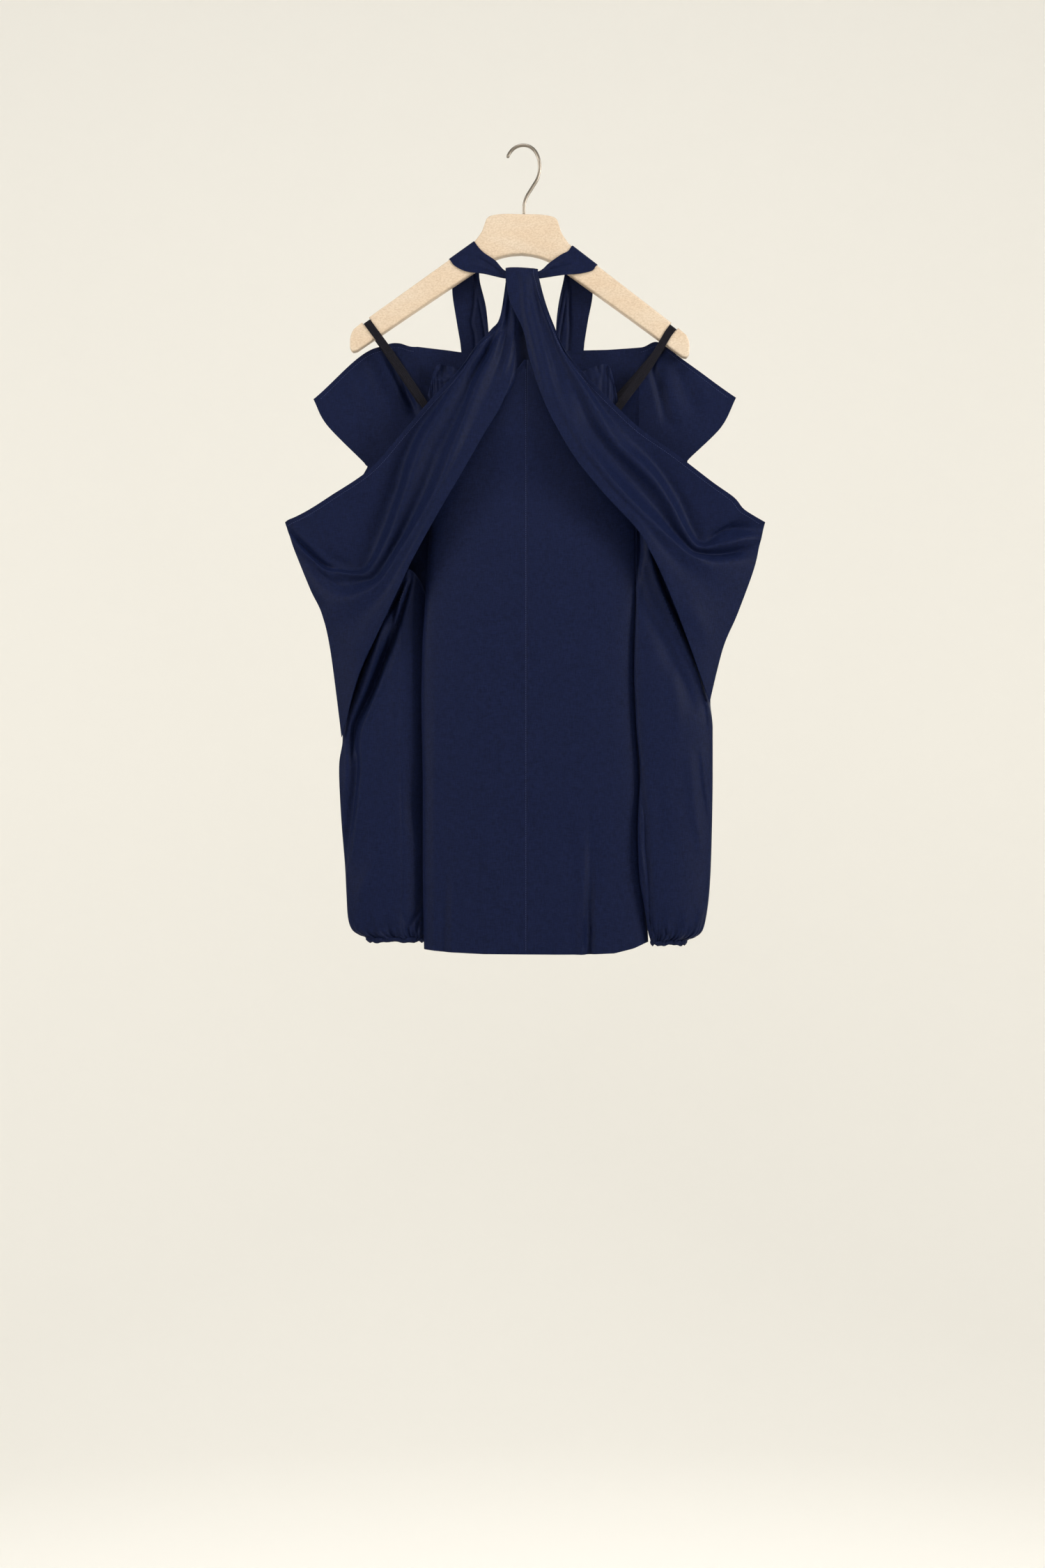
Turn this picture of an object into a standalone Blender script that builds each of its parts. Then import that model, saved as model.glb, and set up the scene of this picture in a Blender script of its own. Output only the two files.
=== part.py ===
"""Off-shoulder blouse with a twisted halter front, hanging on a flat wooden hanger.

+X is to the viewer's right, -Y is the front and +Z is up. The origin is the inside top of the
hook, where a rail carries it. Sizes are millimetres, turned to metres when a mesh is made.
Tables give places seen from the front as (across, up), and depths as distances along Y.
"""

import bmesh
import bpy
import numpy as np

MM = 0.001

# The hanger: a symmetric plate, tilted about the hook.
HANGER_SPAN = 437
HANGER_THICK = 15
HANGER_EDGE = 2.4
HANGER_TILT = 1.0
NOTCH_ALONG = 11
NOTCH_DEEP = 4
CROWN_TOP = -88
WIRE_RADIUS = 2.2
WIRE_STEPS = 31

# The cloth.
WALL = 1.2
SEAM_GAP = 0.4
ELASTIC_WIDE = 10
ELASTIC_THICK = 1.2

# The body below the underarm.
UNDERARM = -495
SEAM_X = 4.5
HEM_Z = -1041
BULGE_POWER = 2.2

# The sleeves and their elastic cuffs.
SLEEVE_POWER = 2.3
SLEEVE_FOLD_WIDE = 7
GATHERS = 10
GATHER_DEEP = 2.6
GATHER_RISE = 75
CUFF_TALL = 7
CUFF_GATHERS = 12


# ---------------------------------------------------------------- curves and meshes


def smooth(rows, count):
    """Rows of any width, read at count even steps along a smooth curve through them.

    Each slope is held to twice the smaller step beside it, so that the curve doesn't swing past
    rows that lie close together.
    """
    rows = np.asarray(rows, float)
    steps = np.diff(rows, axis=0)
    slopes = np.gradient(rows, axis=0)
    most = 2 * np.minimum(np.abs(steps[:-1]), np.abs(steps[1:]))
    slopes[1:-1] = np.clip(slopes[1:-1], -most, most)
    where = np.linspace(0, len(rows) - 1, count)
    low = np.minimum(where.astype(int), len(rows) - 2)
    t = (where - low).reshape((-1,) + (1,) * (rows.ndim - 1))
    a, b, da, db = rows[low], rows[low + 1], slopes[low], slopes[low + 1]
    square, cube = t * t, t * t * t
    ends = (2 * cube - 3 * square + 1) * a + (3 * square - 2 * cube) * b
    return ends + (cube - 2 * square + t) * da + (cube - square) * db


def read_table(heights, table, column):
    """A column of a table whose first column is height, read at any heights."""
    table = np.asarray(table, float)
    order = np.argsort(table[:, 0])
    return np.interp(heights, table[order, 0], table[order, column])


def ease(value):
    value = np.clip(value, 0, 1)
    return value * value * (3 - 2 * value)


def bulge(across, power):
    """A rounded section: 1 in the middle and 0 at both edges, where across is -1 and 1."""
    return np.maximum(0, 1 - np.abs(across) ** power) ** (1 / power)


def material(name, colour, roughness, metallic=0.0):
    made = bpy.data.materials.get(name)
    if made:
        return made
    made = bpy.data.materials.new(name)
    made.use_nodes = True
    shader = made.node_tree.nodes["Principled BSDF"]
    shader.inputs["Base Color"].default_value = (*colour, 1)
    shader.inputs["Roughness"].default_value = roughness
    shader.inputs["Metallic"].default_value = metallic
    return made


def silk():
    return material("silk_crepe", (0.011, 0.016, 0.055), 0.55)


def elastic():
    return material("black_elastic", (0.012, 0.011, 0.017), 0.7)


def wood():
    return material("beech", (0.80, 0.62, 0.43), 0.5)


def steel():
    return material("steel_wire", (0.35, 0.32, 0.29), 0.35, 1.0)


def add_object(name, points, faces, finish):
    """A closed mesh from points in millimetres, as its own object."""
    mesh = bpy.data.meshes.new(name)
    mesh.from_pydata([tuple(point) for point in np.asarray(points) * MM], [], faces)
    work = bmesh.new()
    work.from_mesh(mesh)
    bmesh.ops.recalc_face_normals(work, faces=work.faces)
    bmesh.ops.triangulate(work, faces=work.faces, quad_method="SHORT_EDGE")
    work.to_mesh(mesh)
    work.free()
    mesh.materials.append(finish)
    made = bpy.data.objects.new(name, mesh)
    bpy.context.scene.collection.objects.link(made)
    return made


def normals(grid, ring):
    """Unit normals of a grid of points. A ring closes on itself in its first direction."""
    if ring:
        along = (np.roll(grid, -1, 0) - np.roll(grid, 1, 0)) / 2
    else:
        along = np.gradient(grid, axis=0)
    across = np.gradient(grid, axis=1)
    found = np.cross(along, across)
    return found / np.maximum(np.linalg.norm(found, axis=2, keepdims=True), 1e-9)


def cloth_wall(name, grid, finish, thick=WALL, ring=False):
    """A wall of even thickness whose middle is the grid: an open sheet, or an open-ended tube."""
    rows, columns = grid.shape[:2]
    offset = normals(grid, ring) * thick / 2
    points = np.concatenate([(grid + offset).reshape(-1, 3), (grid - offset).reshape(-1, 3)])
    back = rows * columns

    def at(i, j, side):
        return side * back + (i % rows) * columns + j

    faces = []
    for i in range(rows if ring else rows - 1):
        for j in range(columns - 1):
            faces.append((at(i, j, 0), at(i + 1, j, 0), at(i + 1, j + 1, 0), at(i, j + 1, 0)))
            faces.append((at(i, j, 1), at(i, j + 1, 1), at(i + 1, j + 1, 1), at(i + 1, j, 1)))
        for j in (0, columns - 1):
            faces.append((at(i, j, 0), at(i, j, 1), at(i + 1, j, 1), at(i + 1, j, 0)))
    if not ring:
        for i in (0, rows - 1):
            for j in range(columns - 1):
                faces.append((at(i, j, 0), at(i, j + 1, 0), at(i, j + 1, 1), at(i, j, 1)))
    return add_object(name, points, faces, finish)


def fold_depth(across, up, folds):
    """How far soft folds push a panel back (+) or forward (-), from a table of fold rows."""
    depth = np.zeros_like(across)
    for top_x, top_z, low_x, low_z, left_wide, right_wide, height in folds:
        run = np.clip((top_z - up) / (top_z - low_z), 0, 1)
        middle = top_x + (low_x - top_x) * run
        wide = np.where(across < middle, left_wide, right_wide)
        depth += height * ease(run * 1.6) * np.exp(-(((across - middle) / wide) ** 2))
    return depth


# ---------------------------------------------------------------- hanger


ARM = np.array([(61, -125), (195, -224.5)], float)  # the right arm's top edge, before the tilt


def tilted(points):
    turn = np.radians(-HANGER_TILT)
    spin = np.array([[np.cos(turn), -np.sin(turn)], [np.sin(turn), np.cos(turn)]])
    return np.asarray(points, float) @ spin.T


def hanger_outline():
    """The right half from crown to arch, then mirrored and tilted."""
    half = HANGER_SPAN / 2
    crown = [(0, CROWN_TOP), (20, CROWN_TOP + 0.2), (38, CROWN_TOP - 2), (45, CROWN_TOP - 6),
             (48, CROWN_TOP - 13), (52, CROWN_TOP - 24), (61, CROWN_TOP - 37)]
    along = (ARM[1] - ARM[0]) / np.linalg.norm(ARM[1] - ARM[0])
    down = np.array([along[1], -along[0]])
    start = ARM[1]
    floor = start + down * NOTCH_DEEP
    notch = [start, floor, floor + along * NOTCH_ALONG, start + along * NOTCH_ALONG]
    tip = [(half - 4, -240), (half - 1, -246), (half + 0.5, -254), (half + 0.5, -263),
           (half - 3, -269), (half - 9, -268)]
    lower = [(140, -219), (59, -162.5), (44, -152), (30, -145), (15, -141), (0, -139.5)]
    middle = [ARM[0] + (ARM[1] - ARM[0]) * step for step in (0.25, 0.5, 0.75)]
    side = crown + middle + notch + tip + lower
    mirrored = [(-x, z) for x, z in side[-2:0:-1]]
    return tilted([tuple(point) for point in side + mirrored])


def over_arm(side, across, lift, drop=0.0):
    """Points over an arm's top edge, from back to front, where a strap or band hangs over it.

    side is -1 or 1, across is how far out along X the edge is met, lift is the distance from the
    wood to the middle of the cloth, and drop is the depth of a notch's floor.
    """
    ends = tilted(ARM * (side, 1))
    along = (ends[1] - ends[0]) / np.linalg.norm(ends[1] - ends[0])
    up = np.array([-along[1], along[0]]) * side
    share = (across - abs(ends[0, 0])) / (abs(ends[1, 0]) - abs(ends[0, 0]))
    edge = ends[0] + (ends[1] - ends[0]) * share - up * drop
    half = HANGER_THICK / 2
    path = [(half + lift, -9), (half + lift, -3.2), (half - 0.9 + lift * 0.7, -0.9 + lift * 0.7),
            (half - 3.4, lift), (0, lift)]
    path += [(-depth, rise) for depth, rise in path[-2::-1]]
    return [(edge[0] + up[0] * rise, depth, edge[1] + up[1] * rise) for depth, rise in path]


def inset(outline, distance):
    """The outline moved inwards, with each corner moved along its bisector."""
    before = outline - np.roll(outline, 1, 0)
    after = np.roll(outline, -1, 0) - outline
    before /= np.linalg.norm(before, axis=1, keepdims=True)
    after /= np.linalg.norm(after, axis=1, keepdims=True)
    inward_before = np.stack([before[:, 1], -before[:, 0]], 1)
    inward_after = np.stack([after[:, 1], -after[:, 0]], 1)
    middle = inward_before + inward_after
    middle /= np.maximum((middle * inward_after).sum(1, keepdims=True), 0.5)
    return outline + middle * distance


def make_hanger():
    outline = hanger_outline()
    half = HANGER_THICK / 2
    edge = HANGER_EDGE
    layers = [(-half, edge), (-half + edge * 0.3, edge * 0.3), (-half + edge, 0),
              (half - edge, 0), (half - edge * 0.3, edge * 0.3), (half, edge)]
    points = []
    for depth, cut in layers:
        points += [(x, depth, z) for x, z in inset(outline, cut)]
    count = len(outline)
    faces = [tuple(range(count)), tuple(range(5 * count, 6 * count))]
    for layer in range(len(layers) - 1):
        for i in range(count):
            low, high = layer * count, (layer + 1) * count
            j = (i + 1) % count
            faces.append((low + i, low + j, high + j, high + i))
    add_object("hanger_plate", points, faces, wood())


HOOK_ROUTE = [  # (across, up), from the tip over the rail to the crown
    (-20.5, -14), (-17.6, -8), (-13, -2.6), (-7, 0.9), (0, 2.2), (7, 1.1), (13, -2.8),
    (17.5, -9), (20.5, -17.5), (21.3, -28), (18.6, -40.5), (11.6, -52.5), (4.4, -64.5),
    (1.2, -75), (0.9, -82), (0.9, CROWN_TOP + 0.4),
]


def make_hook():
    """The wire as one bent rod with flat ends; its end sits on the crown."""
    curve = bpy.data.curves.new("hanger_hook", "CURVE")
    curve.dimensions = "3D"
    curve.bevel_depth = WIRE_RADIUS * MM
    curve.bevel_resolution = 2
    curve.use_fill_caps = True
    route = smooth(HOOK_ROUTE, WIRE_STEPS)
    spline = curve.splines.new("POLY")
    spline.points.add(len(route) - 1)
    for point, (across, up) in zip(spline.points, route):
        point.co = (across * MM, 0, up * MM, 1)
    curve.materials.append(steel())
    made = bpy.data.objects.new("hanger_hook", curve)
    bpy.context.scene.collection.objects.link(made)


# ---------------------------------------------------------------- body

BODY = [  # height, left edge, right edge, edge depth, front bulge, back bulge
    (-255, -136, 150, 9, 0, 3),
    (-330, -131, 149.5, 9, 0, 4),
    (-400, -127, 148, 8, 0, 6),
    (-455, -124, 148, 3, 14, 8),
    (UNDERARM, -121, 148, -2, 17, 11),
    (-560, -124.5, 148.5, -4, 19, 16),
    (-643, -129.5, 146, -4, 20, 18),
    (-710, -131, 146, -4, 20, 19),
    (-818, -129, 152.5, -4, 20, 19),
    (-878, -129, 150.5, -4, 20, 18),
    (-925, -129, 152, -4, 20, 18),
    (-981, -128.5, 158, -4, 20, 17),
    (-1060, -127, 162, -4, 20, 16),
]
FRONT_TOP = [  # height, left slanted edge, right slanted edge, depth there
    (-278, 1.5, 7.5, -19),
    (-312, -25, 24, -20),
    (-350, -55, 45, -20),
    (-417, -99, 89, -18),
    (-468, -122.5, 134, -8),
    (UNDERARM, -121, 148, -2),
]
FRONT_FOLDS = [  # top x, top z, low x, low z, width left, width right, height
    (79, -840, 77, -1041, 9, 3.5, -4.5),
    (87, -830, 85, -1041, 5, 12, 5.5),
    (-100, -930, -102, -1041, 8, 8, 2.5),
    (-113, -640, -115, -1041, 6, 7, -1.8),
    (62, -860, 62, -1041, 12, 10, 1.5),
]
BACK_FOLDS = [
    (-60, -520, -66, -1035, 16, 12, 3.5),
    (-35, -620, -38, -1035, 11, 14, -3.0),
    (52, -560, 58, -1035, 14, 14, 3.5),
    (88, -650, 92, -1035, 12, 10, -3.0),
]
HEM_DROP = [(-127, 6), (-100, 3), (-51, 0.5), (6, 0), (76, -0.5), (117, 1), (142, 7), (160, 15)]
BACK_HEM_DROP = [(-130, 9), (-85, 22), (-30, 30), (40, 30), (100, 24), (160, 18)]


def body_depth(across, up, side):
    """Depth of the body: side is -1 for its front and 1 for its back."""
    left, right = read_table(up, BODY, 1), read_table(up, BODY, 2)
    edge = read_table(up, BODY, 3)
    out = read_table(up, BODY, 4 if side < 0 else 5)
    place = np.clip((2 * across - left - right) / (right - left), -1, 1)
    return edge + side * out * bulge(place, BULGE_POWER)


def front_depth(across, up):
    below = body_depth(across, up, -1) + fold_depth(across, up, FRONT_FOLDS)
    above = read_table(up, FRONT_TOP, 3)
    return above + (below - above) * ease((-400 - up) / 95)


def front_heights():
    top = [row[0] for row in FRONT_TOP]
    return np.array(top + list(np.linspace(UNDERARM, HEM_Z, 13)[1:]))


def make_front(name, column, side):
    """One half of the front, from the centre seam to its slanted top edge and side."""
    heights = front_heights()
    steps = np.linspace(0, 1, 11)
    grid = np.zeros((len(steps), len(heights), 3))
    for j, height in enumerate(heights):
        if height > UNDERARM:
            edge = read_table(height, FRONT_TOP, column)
        else:
            edge = read_table(height, BODY, column)
        seam = SEAM_X + side * SEAM_GAP / 2
        across = seam + (edge - seam) * steps
        drop = np.interp(across, *zip(*HEM_DROP)) * ease((-900 - height) / 141)
        up = height + drop
        depth = front_depth(across, np.full_like(across, height))
        grid[:, j] = np.stack([across, depth, up], 1)
    cloth_wall(name, grid, silk())


def make_back():
    heights = np.concatenate([np.linspace(-260, UNDERARM, 6), np.linspace(UNDERARM, HEM_Z, 11)[1:]])
    steps = np.linspace(0, 1, 17)
    grid = np.zeros((len(steps), len(heights), 3))
    for j, height in enumerate(heights):
        left, right = read_table(height, BODY, 1), read_table(height, BODY, 2)
        across = left + (right - left) * steps
        level = np.full_like(across, height)
        drop = np.interp(across, *zip(*BACK_HEM_DROP)) * ease((-900 - height) / 141)
        depth = body_depth(across, level, 1) + fold_depth(across, level, BACK_FOLDS)
        depth += SEAM_GAP + WALL
        grid[:, j] = np.stack([across, depth, level + drop], 1)
    cloth_wall("back_body", grid, silk())


# ---------------------------------------------------------------- draped halter fronts

# Each row is a section of the drape, from the twist to the sleeve's outer side. The columns are
# the hem edge, the fold lines in order, and the rolled lower edge, as (across, up), and then the
# depth at the hem, the depth at the roll, and the height of the folds.
DRAPE_LEFT = [
    ((-21, -168), (-19, -168), (-16, -168), (-13, -168), (-9, -168), (-5, -168), (-2, -168),
     (1, -168), -16.4, -16.4, 0),
    ((-30, -223), (-28, -226), (-26, -228), (-23, -231), (-20, -233), (-15, -236), (-12, -237),
     (-8, -239), -17, -17, 1),
    ((-41, -239), (-39, -241), (-38, -244), (-34, -248), (-30, -250), (-21, -255), (-15, -257),
     (-10, -258), -18, -20, 2),
    ((-61, -261), (-59, -263), (-56, -266), (-47, -271), (-40, -275), (-24, -281), (-18, -284),
     (-13, -286), -19, -24, 3),
    ((-81, -290), (-79, -292), (-74, -296), (-66, -303), (-56, -311), (-42, -321), (-33, -327),
     (-26, -332), -22, -30, 4),
    ((-119, -330), (-110, -336), (-102, -342), (-86, -351), (-75, -359), (-64, -365), (-57, -371),
     (-51, -376), -24, -36, 5),
    ((-155, -372), (-142, -381), (-129, -389), (-112, -400), (-94, -409), (-88, -413), (-82, -417),
     (-76, -421), -24, -42, 7),
    ((-197, -419), (-162, -438), (-150, -446), (-132, -455), (-118, -462), (-114, -465),
     (-109, -468), (-105, -471), -22, -45, 8),
    ((-248, -453), (-188, -501), (-174, -511), (-163, -519), (-155, -524), (-149, -528),
     (-145, -531), (-140, -534), -18, -45, 9),
    ((-274, -469), (-212, -545), (-205, -554), (-197, -562), (-185, -569), (-177, -574),
     (-170, -577), (-162, -580), -14, -43, 8),
    ((-292, -478), (-252, -539), (-246, -551), (-239, -566), (-220, -586), (-206, -601),
     (-193, -613), (-182, -620), -10, -36, 7),
    ((-302, -482), (-281, -517), (-276, -530), (-269, -545), (-248, -591), (-235, -621),
     (-222, -653), (-211, -682), -8, -24, 5),
    ((-307, -485), (-305, -492), (-300, -506), (-293, -526), (-274, -572), (-259, -604),
     (-248, -652), (-234, -762), -5, -9, 3),
]
DRAPE_RIGHT = [
    ((19, -167), (13, -167), (8, -167), (3, -167), (-3, -167), (-9, -167), (-15, -167),
     (-21, -167), -21, -21, 0),
    ((26, -198), (24, -199), (22, -200), (20, -202), (12, -204), (3, -204), (-7, -203),
     (-17, -201), -24, -24, 1),
    ((38, -233), (37, -234), (35, -235), (31, -236), (22, -238), (15, -239), (7, -240),
     (0, -241), -27, -28, 2),
    ((54, -269), (53, -271), (50, -273), (44, -275), (31, -278), (23, -279), (16, -280),
     (9, -281), -29, -33, 3),
    ((86, -306), (79, -309), (72, -312), (61, -316), (43, -323), (36, -325), (30, -327),
     (25, -329), -29, -38, 4),
    ((118, -338), (106, -344), (93, -350), (80, -355), (59, -359), (52, -361), (46, -363),
     (41, -364), -28, -42, 5),
    ((152, -369), (137, -379), (118, -389), (104, -395), (84, -400), (78, -403), (73, -406),
     (67, -408), -26, -45, 6),
    ((194, -398), (171, -413), (156, -423), (138, -435), (121, -445), (115, -449), (109, -452),
     (104, -454), -23, -47, 8),
    ((242, -434), (201, -457), (187, -465), (173, -475), (160, -484), (155, -489), (149, -493),
     (144, -497), -18, -47, 9),
    ((271, -454), (220, -496), (209, -502), (199, -507), (188, -511), (179, -517), (170, -522),
     (162, -526), -14, -45, 9),
    ((283, -468), (234, -510), (228, -519), (224, -527), (218, -534), (207, -546), (195, -558),
     (183, -568), -12.5, -40, 8),
    ((297, -477), (265, -494), (262, -513), (260, -526), (254, -540), (241, -572), (226, -604),
     (210, -634), -9.5, -29, 7),
    ((312, -485), (310, -493), (307, -505), (304, -517), (298, -542), (276, -603), (257, -648),
     (240, -717), -5.5, -13, 3),
]
# How far each column stands back (+) or forward (-), as a share of the section's fold height.
DRAPE_RELIEF = (0.0, 0.7, -0.55, 0.45, -0.75, -0.2, -0.1, 0.25)
TUCK_IN = (-1.5, 0.72)
TUCK_BACK = (0.5, 0.95)
LOOP_GAP = 11


def drape_sections(table):
    """Each section's points, with depth, ending in the edge that is tucked behind the roll."""
    sections = []
    for row in table:
        columns = np.array(row[:8], float)
        hem, roll, height = row[8:]
        share = np.linspace(0, 1, len(columns))
        depth = hem + (roll - hem) * share + np.array(DRAPE_RELIEF) * height
        points = np.stack([columns[:, 0], depth, columns[:, 1]], 1)
        inward = points[-2] - points[-1]
        inward[1] = 0
        inward /= max(np.linalg.norm(inward), 1e-6)
        tuck = points[-1] + inward * (TUCK_IN[0] + TUCK_IN[1] * height)
        tuck[1] += TUCK_BACK[0] + TUCK_BACK[1] * height
        sections.append(np.vstack([points, tuck]))
    return sections


def make_drape(name, table, looped, along=25, across=19):
    sections = drape_sections(table)
    if looped:
        first = sections[0]
        over = [(LOOP_GAP, -8), (LOOP_GAP, 0), (LOOP_GAP * 0.85, 5), (LOOP_GAP * 0.5, 7.5),
                (LOOP_GAP * 0.15, 5)]
        sections = [first + (0, back, rise) for back, rise in over] + sections
    section_rows = np.array(sections)
    grid = smooth(section_rows, along)
    grid = smooth(grid.transpose(1, 0, 2), across)
    cloth_wall(name, grid, silk())


# ---------------------------------------------------------------- sleeves

SLEEVE_LEFT = [  # height, outer edge, inner edge, front fold, outer depth, inner depth, front, back
    (-545, -276, -121.5, -150, 1, 8, 10, 12),
    (-575, -265, -123, -159, 1, 8, 11, 13),
    (-620, -249, -125, -168, 1, 8, 12, 14),
    (-666, -241, -127, -179, 1, 8, 13, 15),
    (-719, -237, -128, -196, 1, 8, 14, 16),
    (-764, -233, -128, -213, 1, 8, 15, 17),
    (-800, -237.5, -127, -211, 0, 8, 15, 18),
    (-863, -235, -126.5, -217, 0, 8, 16, 18),
    (-926, -230, -126.5, -227, 0, 7, 17, 18),
    (-965, -228, -126, -240, 0, 7, 18, 18),
    (-995, -226, -126, -240, 0, 6, 17, 17),
    (-1010, -221, -126, -240, 0, 5, 15, 15),
    (-1017, -212, -128, -240, 0, 4, 12, 12),
    (-1019.5, -205, -129, -240, 0, 4, 9.8, 9.8),
    (-1022, -202, -129.5, -240, 0, 4, 9, 9),
]
SLEEVE_RIGHT = [
    (-492, 300, 145.5, 157, 2, -13, 8, 10),
    (-531, 296, 145.5, 167, 2, -14, 9, 10),
    (-587, 272, 145.5, 185, 1, -15, 10, 11),
    (-644, 250, 143.5, 211, 1, -16, 11, 12),
    (-684, 241, 143, 228, 1, -16, 12, 13),
    (-718, 237.5, 144.5, 236, 1, -16, 12, 13),
    (-752, 244.5, 146, 260, 0, -16, 12, 14),
    (-809, 244.5, 150.5, 260, 0, -16, 13, 14),
    (-878, 243.5, 147.5, 260, 0, -17, 14, 15),
    (-940, 241.5, 149.5, 260, 0, -17, 15, 15),
    (-981, 238, 156, 260, 0, -16, 15, 15),
    (-1010, 232, 160.5, 260, 0, -13, 14, 14),
    (-1020, 222, 163, 260, 0, -11, 12, 12),
    (-1023, 214, 164, 260, 0, -10, 9.8, 9.8),
    (-1025.5, 211, 164.5, 260, 0, -9, 9, 9),
]
RECESS = 0.35
BAND_LEFT = (-17, 6.5, 7)  # an inner fold: its distance from the front fold, height and width
BAND_RIGHT = (2, 2.5, 6)


def sleeve_ring(row, band, steps, gathers):
    """One closed ring of a sleeve, from its outer edge round its back, as (across, depth).

    Its front is full between the inner edge and the front fold. Outside that fold it is set back,
    under the drape, apart from the narrow band of a second fold.
    """
    height, outer, inner, fold, outer_depth, inner_depth, front, back = row
    turn = np.linspace(0, 2 * np.pi, steps, endpoint=False)
    place = -np.cos(turn)
    across = (outer + inner) / 2 + (inner - outer) / 2 * place
    middle = outer_depth + (inner_depth - outer_depth) * (1 + place) / 2
    rounding = np.abs(np.sin(turn)) ** (2 / SLEEVE_POWER)
    toward_inner = 1 if inner > outer else -1
    open_front = ease(0.5 + (across - fold) * toward_inner / SLEEVE_FOLD_WIDE)
    from_fold, band_high, band_wide = band
    front_now = front * (RECESS + (1 - RECESS) * open_front)
    front_now += band_high * np.exp(-(((across - fold - from_fold) / band_wide) ** 2))
    depth = np.where(np.sin(turn) > 0, middle + back * rounding, middle - front_now * rounding)
    rise = ease(1 - (height - SLEEVE_LEFT[-1][0]) / GATHER_RISE)
    ripple = gathers * rise * np.cos(GATHERS * turn)
    depth += np.sign(np.sin(turn)) * ripple * rounding
    return across, depth


def sleeve_grid(table, band, steps=40, gathers=GATHER_DEEP):
    grid = np.zeros((steps, len(table), 3))
    for j, row in enumerate(table):
        across, depth = sleeve_ring(row, band, steps, gathers)
        grid[:, j] = np.stack([across, depth, np.full(steps, row[0])], 1)
    return grid


def make_cuff(name, table, band, steps=48):
    """A narrow elastic casing, gathered all round, just under its sleeve."""
    last = table[-1]
    top = last[0] - SEAM_GAP - WALL / 2
    grid = np.zeros((steps, 3, 3))
    turn = np.linspace(0, 2 * np.pi, steps, endpoint=False)
    for j, (drop, swell) in enumerate(((0, 0), (CUFF_TALL * 0.5, 0.9), (CUFF_TALL, -0.4))):
        across, depth = sleeve_ring(last, band, steps, 0)
        ripple = (0.9 * np.cos(CUFF_GATHERS * turn)) * (0.4 + 0.6 * drop / CUFF_TALL)
        centre = (last[1] + last[2]) / 2
        across = centre + (across - centre) * (1 + swell / 40)
        depth = depth + np.sin(turn) * (swell + ripple)
        grid[:, j] = np.stack([across, depth, np.full(steps, top - drop)], 1)
    cloth_wall(name, grid, silk(), ring=True)


# ---------------------------------------------------------------- back sleeve panels

FLAP_LEFT = [  # outer edge, middle and inner edge, each (across, up)
    ((-272, -324), (-190, -258.5), (-137, -258)),
    ((-254, -358), (-182, -310), (-133, -325)),
    ((-202, -411), (-166, -400), (-128.5, -400)),
    ((-232, -465), (-180, -468), (-125, -468)),
    ((-276, -544.5), (-205, -544.5), (-124, -544.5)),
]
FLAP_RIGHT = [
    ((276, -322), (176, -257), (151.5, -257)),
    ((256, -361), (184, -310), (150.5, -325)),
    ((212, -407), (178, -395), (148.5, -400)),
    ((245, -445), (195, -445), (148, -445)),
    ((299, -491.5), (222, -491.5), (148, -491.5)),
]
FLAP_FOLDS_LEFT = [(-186, -255, -152, -330, 7, 9, 6), (-205, -262, -178, -345, 10, 8, -1.5)]
FLAP_FOLDS_RIGHT = [(172, -262, 182, -330, 8, 6, 5), (190, -270, 215, -345, 8, 12, -1.5)]
FLAP_DEPTH = 10.5


def make_flap(name, side, table, folds, sleeve):
    """The upper back of a sleeve, from the body's side seam to just above the sleeve's tube."""
    rows = smooth(table, 11)
    grid = smooth(rows.transpose(1, 0, 2), 12)
    across, up = grid[..., 0], grid[..., 1]
    seam = read_table(up[-1], BODY, 1 if side < 0 else 2) + side * SEAM_GAP
    across = across + (seam - across[-1]) * np.linspace(0, 1, len(across))[:, None]
    height, outer, inner, _, outer_depth, inner_depth, _, back = sleeve[0]
    place = np.clip((2 * across - outer - inner) / (inner - outer), -1, 1)
    tube = outer_depth + (inner_depth - outer_depth) * (1 + place) / 2
    tube = tube + back * bulge(place, SLEEVE_POWER)
    panel = FLAP_DEPTH + fold_depth(across, up, folds)
    depth = panel + (tube - panel) * ease((height + 110 - up) / 108)
    cloth_wall(name, np.stack([across, depth, up], 2), silk())


# ---------------------------------------------------------------- halter bands and straps

HALTER_ARM = (95, 63)  # where the outer and inner edges cross the arm's top edge
HALTER_BACK_LEFT = [  # outer edge and inner edge, each (across, depth, up), up from the back neck
    ((-80, 13.2, -259.2), (-43, 13.2, -259.2)),
    ((-86.5, 11.8, -222), (-48, 11.8, -206)),
    ((-92, 10.5, -184), (-57, 10.5, -164)),
]
HALTER_FRONT_LEFT = [  # the same, down from the arm to the twist
    ((-74, -9.6, -162.5), (-50, -9.6, -139)),
    ((-50, -11.8, -166.5), (-36, -11.8, -149)),
    ((-22, -14, -173), (-21, -14, -163.5)),
    ((-0.3, -14.4, -174.5), (-0.3, -14.4, -165.5)),
]
HALTER_BACK_RIGHT = [
    ((78, 13.2, -259.2), (41, 13.2, -259.2)),
    ((84, 11.8, -222), (45, 11.8, -206)),
    ((90, 10.5, -188), (53, 10.5, -166)),
]
HALTER_FRONT_RIGHT = [
    ((73, -9.6, -165.5), (49, -9.6, -141)),
    ((50, -11.8, -168), (35, -11.8, -151)),
    ((20, -14, -173), (19, -14, -163.5)),
    ((0.3, -14.4, -174.5), (0.3, -14.4, -165.5)),
]


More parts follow.
